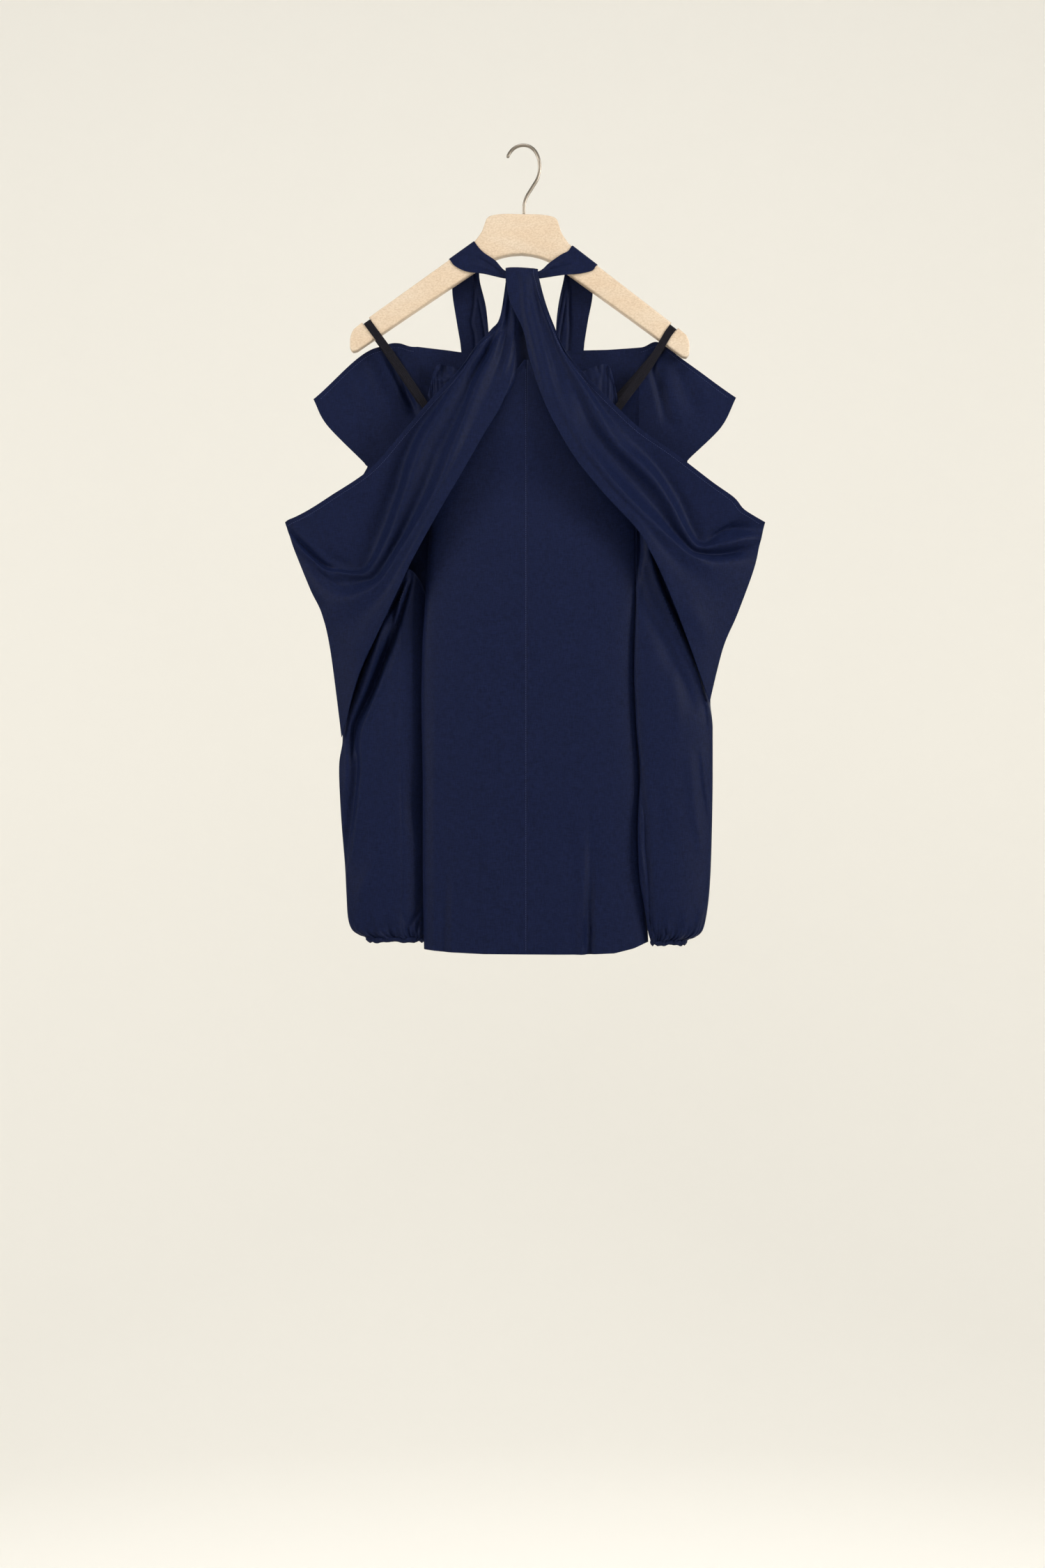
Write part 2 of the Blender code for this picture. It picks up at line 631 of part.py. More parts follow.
def make_halter(name, side, back, front, rows=30, columns=5):
    lift = WALL / 2 + SEAM_GAP
    outer, inner = (over_arm(side, across, lift) for across in HALTER_ARM)
    edges = smooth(np.array(back + list(zip(outer, inner)) + front), rows)
    steps = np.linspace(0, 1, columns)
    outer, inner = edges[:, 0], edges[:, 1]
    grid = outer[None] + (inner - outer)[None] * steps[:, None, None]
    cloth_wall(name, grid, silk())


# Each strap's middle line, as (across, depth, up): its front stretch up to the arm, and its
# back stretch down from it.
ELASTIC_LEFT = (
    [(-120.5, -8.2, -344), (-131, -8.4, -328), (-165, -9, -277)],
    [(-182, 8.6, -254), (-171, 7.4, -270), (-152, 6.2, -298), (-132, 5, -328)],
)
ELASTIC_RIGHT = (
    [(117.5, -9, -346), (128, -9, -330), (160, -9.1, -287)],
    [(179, 8.7, -257), (167, 7.4, -272), (145, 6.2, -298), (120, 5, -326)],
)


def make_elastic(name, side, front, back, rows=34):
    """A flat strap, hung in its notch, whose width lies along the hanger's arm."""
    ends = tilted(ARM * (side, 1))
    along = (ends[1] - ends[0]) / np.linalg.norm(ends[1] - ends[0])
    middle = abs(ends[1, 0]) + abs(along[0]) * NOTCH_ALONG / 2
    crossing = over_arm(side, middle, ELASTIC_THICK / 2 + SEAM_GAP, NOTCH_DEEP)
    line = smooth(front + crossing[::-1] + back, rows)
    wide = np.array([along[0], 0, along[1]]) * ELASTIC_WIDE / 2
    grid = np.stack([line - wide, line + wide], 0)
    cloth_wall(name, grid, elastic(), thick=ELASTIC_THICK)


# ---------------------------------------------------------------- inner bodice sides

INNER_LEFT = [  # outer edge, middle and inner edge, each (across, depth, up)
    ((-123.5, -3, -322), (-107, -4, -281), (-29, -16.5, -313)),
    ((-124, -4, -350), (-105, -8, -325), (-58, -17.2, -352)),
    ((-124, -4, -395), (-112, -9, -385), (-87, -16.4, -397)),
    ((-123.5, -3.5, -440), (-117, -8, -438), (-110, -12.4, -436)),
]
INNER_RIGHT = [
    ((121, -3, -320), (106, -4, -281), (28, -16.5, -313)),
    ((126, -4, -352), (104, -8, -327), (50, -17.6, -352)),
    ((132, -4, -395), (112, -9, -385), (78, -17.2, -397)),
    ((138, -3.5, -440), (127, -8, -438), (112, -12.4, -436)),
]


def make_inner(name, table, rows=8, columns=14):
    """The side of the inner bodice, with its gathered top edge."""
    grid = smooth(np.array(table), rows).transpose(1, 0, 2)
    grid = smooth(grid, columns)
    share = np.linspace(0, 1, columns)[:, None]
    fade = np.linspace(1, 0, rows)[None]
    grid[..., 1] += 1.4 * np.cos(share * np.pi * 8) * fade * ease(share * 5) * ease((1 - share) * 5)
    cloth_wall(name, grid, silk())


# ---------------------------------------------------------------- the whole part


def clear_scene():
    for made in list(bpy.data.objects):
        bpy.data.objects.remove(made, do_unlink=True)


clear_scene()
make_hanger()
make_hook()
make_halter("halter_left", -1, HALTER_BACK_LEFT, HALTER_FRONT_LEFT)
make_halter("halter_right", 1, HALTER_BACK_RIGHT, HALTER_FRONT_RIGHT)
make_drape("drape_left", DRAPE_LEFT, looped=False)
make_drape("drape_right", DRAPE_RIGHT, looped=True)
make_front("front_left", 1, -1)
make_front("front_right", 2, 1)
make_back()
make_flap("back_sleeve_left", -1, FLAP_LEFT, FLAP_FOLDS_LEFT, SLEEVE_LEFT)
make_flap("back_sleeve_right", 1, FLAP_RIGHT, FLAP_FOLDS_RIGHT, SLEEVE_RIGHT)
cloth_wall("sleeve_left", sleeve_grid(SLEEVE_LEFT, BAND_LEFT), silk(), ring=True)
cloth_wall("sleeve_right", sleeve_grid(SLEEVE_RIGHT, BAND_RIGHT), silk(), ring=True)
make_cuff("cuff_left", SLEEVE_LEFT, BAND_LEFT)
make_cuff("cuff_right", SLEEVE_RIGHT, BAND_RIGHT)
make_elastic("elastic_left", -1, *ELASTIC_LEFT)
make_elastic("elastic_right", 1, *ELASTIC_RIGHT)
make_inner("inner_bodice_left", INNER_LEFT)
make_inner("inner_bodice_right", INNER_RIGHT)
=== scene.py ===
"""The looks of a navy silk blouse with a twisted halter neck, hanging on a flat beech hanger.

Millimetres are used for every size and turned to metres when a mesh is made. +X is to the
viewer's right, -Y is the front, +Z is up, and the origin is the inside top of the hook.
"""

import bmesh
import bpy
import numpy as np
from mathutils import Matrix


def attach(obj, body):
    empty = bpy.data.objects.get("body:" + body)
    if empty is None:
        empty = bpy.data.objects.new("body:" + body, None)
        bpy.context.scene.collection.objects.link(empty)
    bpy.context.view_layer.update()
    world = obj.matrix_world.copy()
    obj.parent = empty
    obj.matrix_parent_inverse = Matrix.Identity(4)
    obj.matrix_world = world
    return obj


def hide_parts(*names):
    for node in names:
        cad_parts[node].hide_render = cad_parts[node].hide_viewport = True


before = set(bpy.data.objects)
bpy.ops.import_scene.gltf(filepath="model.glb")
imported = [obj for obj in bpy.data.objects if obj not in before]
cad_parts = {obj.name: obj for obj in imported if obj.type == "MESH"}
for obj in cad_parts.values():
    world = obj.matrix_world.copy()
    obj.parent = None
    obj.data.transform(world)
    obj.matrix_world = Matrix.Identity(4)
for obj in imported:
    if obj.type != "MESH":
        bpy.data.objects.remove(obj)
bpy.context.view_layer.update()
MM = 0.001
scene = bpy.context.scene


# ---------------------------------------------------------------- the view and the light
# A straight front view from 3 m, level with the middle of the sleeves, before a round pale cove.
# Soft boxes light it: two at the sides, the right one stronger, one above, a weak one in front,
# two behind, and a large one that lights the cove itself.

VIEW_FROM = (-0.0009, -3.0, -0.8226)
VIEW_HIGH = 2.025  # what the frame's height takes in at the hanger, in metres
FILM = 36  # its height, in millimetres
PALE_LIGHT = "FFFEFB"

lens = bpy.data.cameras.new("view")
lens.sensor_fit = "VERTICAL"
lens.sensor_height = FILM
lens.lens = FILM * abs(VIEW_FROM[1]) / VIEW_HIGH
camera = bpy.data.objects.new("view", lens)
camera.location = VIEW_FROM
camera.rotation_euler = (np.pi / 2, 0, 0)
scene.collection.objects.link(camera)
scene.camera = camera
scene.view_settings.view_transform = "Standard"


def linear(code):
    """An sRGB hex code such as 1C223C as linear red, green, blue and alpha."""
    parts = [int(code[i : i + 2], 16) / 255 for i in (0, 2, 4)]
    return (*(c / 12.92 if c <= 0.04045 else ((c + 0.055) / 1.055) ** 2.4 for c in parts), 1)


def new_material(name):
    """A material with nodes, and its shader."""
    made = bpy.data.materials.new(name)
    made.use_nodes = True
    return made, made.node_tree.nodes["Principled BSDF"]


def node(tree, kind, settings=None, links=None, **values):
    """One node with its settings, its input values, and its inputs' links from other sockets."""
    made = tree.nodes.new(kind)
    for key, value in (settings or {}).items():
        setattr(made, key, value)
    for key, value in values.items():
        made.inputs[key.replace("_", " ")].default_value = value
    for key, socket in (links or {}).items():
        tree.links.new(socket, made.inputs[key])
    return made


def pale_cove():
    """A round floor that curves up at its edge, as one turned surface, open above."""
    floor, flat, bend, rim = -2.7, 3.6, 2.0, 5.2  # its height, radius, curve and top, in metres
    profile = [(0.0, floor), (flat / 2, floor), (flat, floor)]
    for turn in np.linspace(0, np.pi / 2, 13)[1:]:
        profile.append((flat + bend * np.sin(turn), floor + bend * (1 - np.cos(turn))))
    profile.append((flat + bend, rim))
    sides = 96
    points, faces = [], []
    for around in np.linspace(0, 2 * np.pi, sides, endpoint=False):
        points += [(r * np.cos(around), r * np.sin(around), z) for r, z in profile]
    rows = len(profile)
    for i in range(sides):
        j = (i + 1) % sides
        for k in range(rows - 1):
            a, b = i * rows + k, j * rows + k
            faces.append((a, b, b + 1, a + 1))
    mesh = bpy.data.meshes.new("pale_cove")
    mesh.from_pydata(points, [], faces)
    mesh.shade_smooth()
    # Matt plaster, trowelled smooth: it spreads the light evenly, with no glint.
    plaster, shader = new_material("matt_plaster")
    shader.inputs["Base Color"].default_value = linear("F6F4EF")
    shader.inputs["Roughness"].default_value = 0.9
    mesh.materials.append(plaster)
    made = bpy.data.objects.new("pale_cove", mesh)
    scene.collection.objects.link(made)


def soft_box(name, place, aim, size, power):
    """A rectangular light, in metres and watts, turned towards a point and itself unseen."""
    light = bpy.data.lights.new(name, "AREA")
    light.shape = "RECTANGLE"
    light.size, light.size_y = size
    light.energy = power
    light.color = linear(PALE_LIGHT)[:3]
    made = bpy.data.objects.new(name, light)
    made.location = place
    way = np.array(place) - np.array(aim)
    made.rotation_euler = (
        np.arctan2(np.hypot(way[0], way[1]), way[2]), 0, np.arctan2(way[0], -way[1]))
    made.visible_camera = False
    scene.collection.objects.link(made)


pale_cove()
CHEST = (0, 0, -0.6)
soft_box("left_box", (-2.4, -1.6, 0.1), CHEST, (0.9, 1.8), 52)
soft_box("right_box", (2.4, -1.4, 0.1), CHEST, (0.9, 1.8), 76)
soft_box("top_box", (0, -1.5, 2.2), CHEST, (1.6, 1.0), 31)
soft_box("front_box", (-0.5, -3.2, 0.4), CHEST, (0.8, 0.8), 9)
soft_box("back_left_box", (-2.0, 2.3, 0.5), CHEST, (1.0, 1.6), 25)
soft_box("back_right_box", (2.0, 2.3, 0.5), CHEST, (1.0, 1.6), 33)
soft_box("cove_box", (0, 1.2, 3.2), (0, 5.6, -1.4), (3.0, 2.0), 54)
world = bpy.data.worlds.new("pale_surround")
world.use_nodes = True
surround = world.node_tree.nodes["Background"]
surround.inputs["Color"].default_value = linear(PALE_LIGHT)
surround.inputs["Strength"].default_value = 0.225
scene.world = world


# ---------------------------------------------------------------- the hanger
# A flat plate of pale beech, sawn to a chevron with a tall crown, sanded, and rounded over on
# both faces. A small notch near each end of its top edge keeps a strap from slipping.

HANGER_SPAN = 437
HANGER_THICK = 15
ROUND_OVER = 2.4
HANGER_TILT = 1.0  # degrees, its right end down
ARM = np.array([(61, -125), (195, -224.5)], float)  # the right arm's top edge, before the tilt
NOTCH_ALONG = 11
NOTCH_DEEP = 4
CROWN_TOP = -88


def smooth(rows, count):
    """Rows of any width, read at count even steps along a smooth curve through them."""
    rows = np.asarray(rows, float)
    steps = np.diff(rows, axis=0)
    slopes = np.gradient(rows, axis=0)
    most = 2 * np.minimum(np.abs(steps[:-1]), np.abs(steps[1:]))
    slopes[1:-1] = np.clip(slopes[1:-1], -most, most)
    where = np.linspace(0, len(rows) - 1, count)
    low = np.minimum(where.astype(int), len(rows) - 2)
    t = (where - low).reshape((-1,) + (1,) * (rows.ndim - 1))
    a, b, da, db = rows[low], rows[low + 1], slopes[low], slopes[low + 1]
    square, cube = t * t, t * t * t
    ends = (2 * cube - 3 * square + 1) * a + (3 * square - 2 * cube) * b
    return ends + (cube - 2 * square + t) * da + (cube - square) * db


def tilted(points):
    """Points of the plate's plane, (across, up), turned by the hanger's tilt about the hook."""
    turn = np.radians(-HANGER_TILT)
    spin = np.array([[np.cos(turn), -np.sin(turn)], [np.sin(turn), np.cos(turn)]])
    return np.asarray(points, float) @ spin.T


def hanger_outline():
    """The right half from crown to arch with its corners rounded, then mirrored and tilted."""
    half = HANGER_SPAN / 2
    along = (ARM[1] - ARM[0]) / np.linalg.norm(ARM[1] - ARM[0])
    down = np.array([along[1], -along[0]])
    crown = smooth([(0, CROWN_TOP), (20, CROWN_TOP + 0.2), (38, CROWN_TOP - 2),
                    (45, CROWN_TOP - 6), (48, CROWN_TOP - 13), (52, CROWN_TOP - 24),
                    (61, CROWN_TOP - 37)], 30)
    notch = [ARM[1], ARM[1] + down * NOTCH_DEEP, ARM[1] + down * NOTCH_DEEP + along * NOTCH_ALONG,
             ARM[1] + along * NOTCH_ALONG]
    tip = smooth([(half - 4, -240), (half - 1, -246), (half + 0.5, -254), (half + 0.5, -263),
                  (half - 3, -269), (half - 9, -268)], 18)
    lower = smooth([(140, -219), (59, -162.5), (44, -152), (30, -145), (15, -141), (0, -139.5)],
                   24)
    side = np.vstack([crown, notch, tip, lower])
    return tilted(np.vstack([side, side[-2:0:-1] * (-1, 1)]))


def moved_in(outline, distance):
    """The outline moved inwards, with each corner moved along its bisector."""
    before = outline - np.roll(outline, 1, 0)
    after = np.roll(outline, -1, 0) - outline
    before /= np.linalg.norm(before, axis=1, keepdims=True)
    after /= np.linalg.norm(after, axis=1, keepdims=True)
    inward_before = np.stack([before[:, 1], -before[:, 0]], 1)
    inward_after = np.stack([after[:, 1], -after[:, 0]], 1)
    middle = inward_before + inward_after
    middle /= np.maximum((middle * inward_after).sum(1, keepdims=True), 0.5)
    return outline + middle * distance


def add_piece(name, points, faces, finish, node_name, sharp=50):
    """A mesh from points in millimetres, in the place of a solid of the frame."""
    mesh = bpy.data.meshes.new(name)
    mesh.from_pydata(np.asarray(points) * MM, [], faces)
    work = bmesh.new()
    work.from_mesh(mesh)
    bmesh.ops.recalc_face_normals(work, faces=work.faces)
    work.to_mesh(mesh)
    work.free()
    mesh.shade_smooth()
    mesh.set_sharp_from_angle(angle=np.radians(sharp))
    mesh.materials.append(finish)
    made = bpy.data.objects.new(name, mesh)
    scene.collection.objects.link(made)
    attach(made, "root")
    if node_name:
        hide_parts(node_name)
    return made


def per_metre(*sizes):
    """A pattern's scale: how many times each size, in millimetres, goes into a metre."""
    return [1 / (size * MM) for size in sizes]


def beech():
    """Sanded beech under clear matt lacquer: pale pink-brown, with short darker ray flecks."""
    made, shader = new_material("sanded_beech")
    tree = made.node_tree
    place = node(tree, "ShaderNodeTexCoord").outputs["Object"]
    # The flecks are 0.4 mm wide and a little longer. Here they are drawn about 1.6 mm wide, so
    # that they show. The growth rings under them are about 30 mm apart.
    stretched = node(tree, "ShaderNodeMapping", links={"Vector": place},
                     Scale=per_metre(2.78, 2.0, 1.56))
    flecks = node(tree, "ShaderNodeTexNoise", links={"Vector": stretched.outputs[0]},
                  Scale=1.0, Detail=3.0, Roughness=0.7)
    broad = node(tree, "ShaderNodeMapping", links={"Vector": place},
                 Scale=per_metre(125, 33.3, 29.4))
    bands = node(tree, "ShaderNodeTexNoise", links={"Vector": broad.outputs[0]}, Scale=1.0,
                 Detail=4.0, Distortion=0.6)
    tones = []
    for pattern, stops in ((flecks, ((0.36, "B4A28E"), (0.6, "C5B5A0"))),
                           (bands, ((0.3, "F6EADD"), (0.7, "FFFFFF")))):
        ramp = node(tree, "ShaderNodeValToRGB", links={"Fac": pattern.outputs["Fac"]})
        for stop, (position, colour) in zip(ramp.color_ramp.elements, stops):
            stop.position = position
            stop.color = linear(colour)
        tones.append(ramp.outputs["Color"])
    mixed = node(tree, "ShaderNodeMix", {"data_type": "RGBA", "blend_type": "MULTIPLY"},
                 {"A": tones[0], "B": tones[1]}, Factor=0.6)
    tree.links.new(mixed.outputs["Result"], shader.inputs["Base Color"])
    bump = node(tree, "ShaderNodeBump", links={"Height": flecks.outputs["Fac"]}, Strength=0.12,
                Distance=0.0002)
    tree.links.new(bump.outputs[0], shader.inputs["Normal"])
    shader.inputs["Roughness"].default_value = 0.48
    return made


def make_hanger():
    """The outline in layers from back to front, moved in towards both faces, and capped."""
    outline = hanger_outline()
    half = HANGER_THICK / 2
    turns = np.linspace(0, np.pi / 2, 6)
    rims = [(half - ROUND_OVER * (1 - np.sin(t)), ROUND_OVER * (1 - np.cos(t)))
            for t in turns]
    layers = [(-depth, cut) for depth, cut in rims[::-1]] + rims
    points = []
    for depth, cut in layers:
        points += [(x, depth, z) for x, z in moved_in(outline, cut)]
    count = len(outline)
    faces = [tuple(range(count)), tuple(range((len(layers) - 1) * count, len(layers) * count))]
    for layer in range(len(layers) - 1):
        for i in range(count):
            j = (i + 1) % count
            low, high = layer * count, (layer + 1) * count
            faces.append((low + i, low + j, high + j, high + i))
    add_piece("wooden_hanger", points, faces, beech(), "hanger_plate", 40)


make_hanger()


# ---------------------------------------------------------------- the hook
# One length of satin nickel-plated steel wire, bent cold and pressed into the crown. It lies in
# the plane of the plate.

WIRE_RADIUS = 2.2
TIP_ROUNDING = (0.45, 0.75, 0.93, 0.99)  # shares of the wire's radius, in from its free tip
HOOK_ROUTE = [  # (across, up), from the free tip over the top to the crown
    (-20.5, -14), (-17.6, -8), (-13, -2.6), (-7, 0.9), (0, 2.2), (7, 1.1), (13, -2.8),
    (17.5, -9), (20.5, -17.5), (21.3, -28), (18.6, -40.5), (11.6, -52.5), (4.4, -64.5),
    (1.2, -75), (0.9, -82), (0.9, -87.6),
]


def satin_nickel():
    """Nickel-plated steel wire, drawn: soft grey reflections, slightly warm and uneven."""
    made, shader = new_material("satin_nickel")
    tree = made.node_tree
    place = node(tree, "ShaderNodeTexCoord").outputs["Object"]
    # The plating is a little duller in some spots than in others, about 1 mm apart.
    marks = node(tree, "ShaderNodeTexNoise", links={"Vector": place}, Scale=per_metre(1.11)[0],
                 Detail=2.0)
    rough = node(tree, "ShaderNodeMapRange", links={"Value": marks.outputs["Fac"]}, To_Min=0.24,
                 To_Max=0.38)
    tree.links.new(rough.outputs[0], shader.inputs["Roughness"])
    shader.inputs["Base Color"].default_value = linear("857D73")
    shader.inputs["Metallic"].default_value = 1.0
    return made


def make_hook(sides=20, steps=150):
    """A round rod along the route, rounded off at its free tip."""
    route = smooth(HOOK_ROUTE, steps)
    ahead = np.gradient(route, axis=0)
    ahead /= np.linalg.norm(ahead, axis=1, keepdims=True)
    out = np.stack([ahead[:, 1], -ahead[:, 0]], 1)
    points, faces = [], []
    radii = np.full(steps, WIRE_RADIUS)
    radii[:len(TIP_ROUNDING)] *= TIP_ROUNDING
    for place, way, reach in zip(route, out, radii):
        for turn in np.linspace(0, 2 * np.pi, sides, endpoint=False):
            points.append((place[0] + way[0] * reach * np.cos(turn), reach * np.sin(turn),
                           place[1] + way[1] * reach * np.cos(turn)))
    for i in range(steps - 1):
        for k in range(sides):
            a, b = i * sides + k, i * sides + (k + 1) % sides
            faces.append((a, b, b + sides, a + sides))
    faces += [tuple(range(sides)), tuple(range((steps - 1) * sides, steps * sides))]
    add_piece("wire_hook", points, faces, satin_nickel(), "hanger_hook")


make_hook()


# ---------------------------------------------------------------- the back of the body
# One panel of navy silk crepe, straight across the top, with a narrow double-turned hem at the
# bottom. Crepe yarn is twisted hard, so the surface is finely pebbled with a soft, wide sheen.

SHELL = 0.8  # the cloth, or its doubled hem
WALL = 1.2  # the same in the solids
SEAM_GAP = 0.4
UNDERARM = -495
BACK_TOP = -260
HEM_Z = -1041
BULGE_POWER = 2.2
BODY = [  # height, left edge, right edge, edge depth, front bulge, back bulge
    (-255, -136, 150, 9, 0, 3),
    (-330, -131, 149.5, 9, 0, 4),
    (-400, -127, 148, 8, 0, 6),
    (-455, -124, 148, 3, 14, 8),
    (UNDERARM, -121, 148, -2, 17, 11),
    (-560, -124.5, 148.5, -4, 19, 16),
    (-643, -129.5, 146, -4, 20, 18),
    (-710, -131, 146, -4, 20, 19),
    (-818, -129, 152.5, -4, 20, 19),
    (-878, -129, 150.5, -4, 20, 18),
    (-925, -129, 152, -4, 20, 18),
    (-981, -128.5, 158, -4, 20, 17),
    (-1060, -127, 162, -4, 20, 16),
]
LEFT_FORWARD = 6.5  # how far the left edge lies in front of the right one, below the underarm
FORWARD_OVER = (-520, -610)  # the heights over which it comes forward
DEPTH_BLEND = (-24, -12, 0, 12, 24)  # heights over which the table's depths are averaged
NECK_OVER = (-320, BACK_TOP)  # the heights over which the neckline's rise comes in
HEM_OVER = (-900, HEM_Z)  # the same for the hems' rise
BACK_NECK_RISE = [  # across, and how far the neckline lies above its height
    (-136, 4), (-118, 2), (-100, 0), (-82, -2.5), (-40, -2), (40, -1), (110, 0.5), (150, 3)]
BACK_HEM_RISE = [(-130, 9), (-85, 22), (-30, 30), (40, 30), (100, 24), (160, 18)]
LINE_LEGS = 6  # straight legs for each point of a crease's line


def silk_crepe():
    """Silk crepe, woven of hard-twisted yarn: a fine pebbled grain and a soft, wide sheen."""
    made, shader = new_material("silk_crepe")
    tree = made.node_tree
    place = node(tree, "ShaderNodeTexCoord").outputs["Object"]
    # The yarns are 0.25 mm apart; here they are 0.9 mm apart, so that their grain just shows.
    grain = node(tree, "ShaderNodeMath", {"operation": "ADD"})
    for k, sizes in enumerate(((0.909, 2.5, 6.25), (6.25, 2.5, 0.909))):
        yarn = node(tree, "ShaderNodeMapping", links={"Vector": place}, Scale=per_metre(*sizes))
        twist = node(tree, "ShaderNodeTexNoise", links={"Vector": yarn.outputs[0]}, Scale=1.0,
                     Detail=2.0)
        tree.links.new(twist.outputs["Fac"], grain.inputs[k])
    # The handled cloth is a little smoother in some places than in others, 110 mm apart.
    patch = node(tree, "ShaderNodeTexNoise", links={"Vector": place}, Scale=per_metre(111)[0],
                 Detail=3.0)
    tone = node(tree, "ShaderNodeMapRange", links={"Value": grain.outputs[0]}, From_Min=0.6,
                From_Max=1.4)
    ramp = node(tree, "ShaderNodeValToRGB", links={"Fac": tone.outputs[0]})
    stops = ((0.2, "0C1228"), (0.8, "121935"))
    for stop, (position, colour) in zip(ramp.color_ramp.elements, stops):
        stop.position = position
        stop.color = linear(colour)
    tree.links.new(ramp.outputs["Color"], shader.inputs["Base Color"])
    rough = node(tree, "ShaderNodeMapRange", links={"Value": patch.outputs["Fac"]}, From_Min=0.3,
                 From_Max=0.7, To_Min=0.46, To_Max=0.56)
    tree.links.new(rough.outputs[0], shader.inputs["Roughness"])
    bump = node(tree, "ShaderNodeBump", links={"Height": grain.outputs[0]}, Strength=0.55,
                Distance=0.00025)
    tree.links.new(bump.outputs[0], shader.inputs["Normal"])
    shader.inputs["Specular IOR Level"].default_value = 0.05
    shader.inputs["Sheen Weight"].default_value = 0.02
    shader.inputs["Sheen Roughness"].default_value = 0.45
    shader.inputs["Sheen Tint"].default_value = linear("6C78B4")
    return made


SILK = silk_crepe()


def read_table(heights, table, column):
    """A column of a table whose first column is height, read at any heights."""
    table = np.asarray(table, float)
    order = np.argsort(table[:, 0])
    return np.interp(heights, table[order, 0], table[order, column])


def eased(value, start, full):
    """0 up to start, 1 from full on, and eased between them. Full may be below start."""
    share = np.clip((value - start) / (full - start), 0, 1)
    return share * share * (3 - 2 * share)


def bulge(across, power):
    """A rounded section: 1 in the middle and 0 at both edges, where across is -1 and 1."""
    return np.maximum(0, 1 - np.abs(across) ** power) ** (1 / power)


def body_depth(across, up, side):
    """Depth of the body: side is -1 for its front and 1 for its back."""
    left, right = read_table(up, BODY, 1), read_table(up, BODY, 2)
    edge, out = (np.mean([read_table(up + near, BODY, column) for near in DEPTH_BLEND], axis=0)
                 for column in (3, 4 if side < 0 else 5))
    place = np.clip((2 * across - left - right) / (right - left), -1, 1)
    edge = edge - LEFT_FORWARD * ((1 - place) / 2) ** 2 * eased(up, *FORWARD_OVER)
    return edge + side * out * bulge(place, BULGE_POWER)


def creased(grid, creases, only=1):
    """The grid with troughs (+) and ridges (-) pressed into it along given lines.

    A line's points are (across, up, width to its left, width to its right, height), where left
    is the left hand of someone who walks the line and sees the garment from the front.
    """
    spots = grid[..., (0, 2)].reshape(-1, 2)
    push = np.zeros(len(spots))
    for line in creases:
        fine = smooth(line, LINE_LEGS * len(line))
        away = np.full(len(spots), 1e9)
        at, on_left = np.zeros(len(spots)), np.zeros(len(spots), bool)
        for step, (start, leg) in enumerate(zip(fine[:-1, :2], np.diff(fine[:, :2], axis=0))):
            share = np.clip((spots - start) @ leg / (leg @ leg), 0, 1)
            gap = spots - start - share[:, None] * leg
            near = (gap**2).sum(1)
            closer = near < away
            away[closer], at[closer] = near[closer], (step + share)[closer]
            on_left[closer] = (leg[0] * gap[:, 1] - leg[1] * gap[:, 0] > 0)[closer]
        left, right, high = (np.interp(at, np.arange(len(fine)), fine[:, k]) for k in (2, 3, 4))
        push += high * np.exp(-away / np.where(on_left, left, right) ** 2)
    shaped = grid.copy()
    shaped[..., 1] += push.reshape(grid.shape[:2]) * only
    return shaped


def cloth_shell(piece, grid, finish=None, thick=SHELL, ring=False):
    """A thin closed shell whose middle is the grid: an open sheet, or an open-ended tube."""
    if ring:
        along = (np.roll(grid, -1, 0) - np.roll(grid, 1, 0)) / 2
    else:
        along = np.gradient(grid, axis=0)
    facing = np.cross(along, np.gradient(grid, axis=1))
    facing /= np.maximum(np.linalg.norm(facing, axis=2, keepdims=True), 1e-9)
    rows, columns = grid.shape[:2]
    points = np.concatenate([(grid + side * facing * thick / 2).reshape(-1, 3)
                             for side in (1, -1)])
    i = np.arange(rows if ring else rows - 1)[:, None]
    j = np.arange(columns - 1)[None]
    following = (i + 1) % rows
    here, beside = i * columns + j, following * columns + j
    back = rows * columns
    front_faces = np.stack([here, beside, beside + 1, here + 1], -1).reshape(-1, 4)
    back_faces = np.stack([here, here + 1, beside + 1, beside], -1).reshape(-1, 4) + back
    i, following = i[:, 0], following[:, 0]
    rims = []
    for edge, turned in ((0, False), (columns - 1, True)):
        a, b = i * columns + edge, following * columns + edge
        quad = np.stack([a, a + back, b + back, b], -1)
        rims.append(quad[:, ::-1] if turned else quad)
    if not ring:
        j = j[0]
        for edge, turned in ((0, True), (rows - 1, False)):
            a = edge * columns + j
            quad = np.stack([a, a + back, a + 1 + back, a + 1], -1)
            rims.append(quad[:, ::-1] if turned else quad)
    faces = np.concatenate([front_faces, back_faces, *rims]).tolist()
    return add_piece(piece + "_cloth", points, faces, finish or SILK, piece)


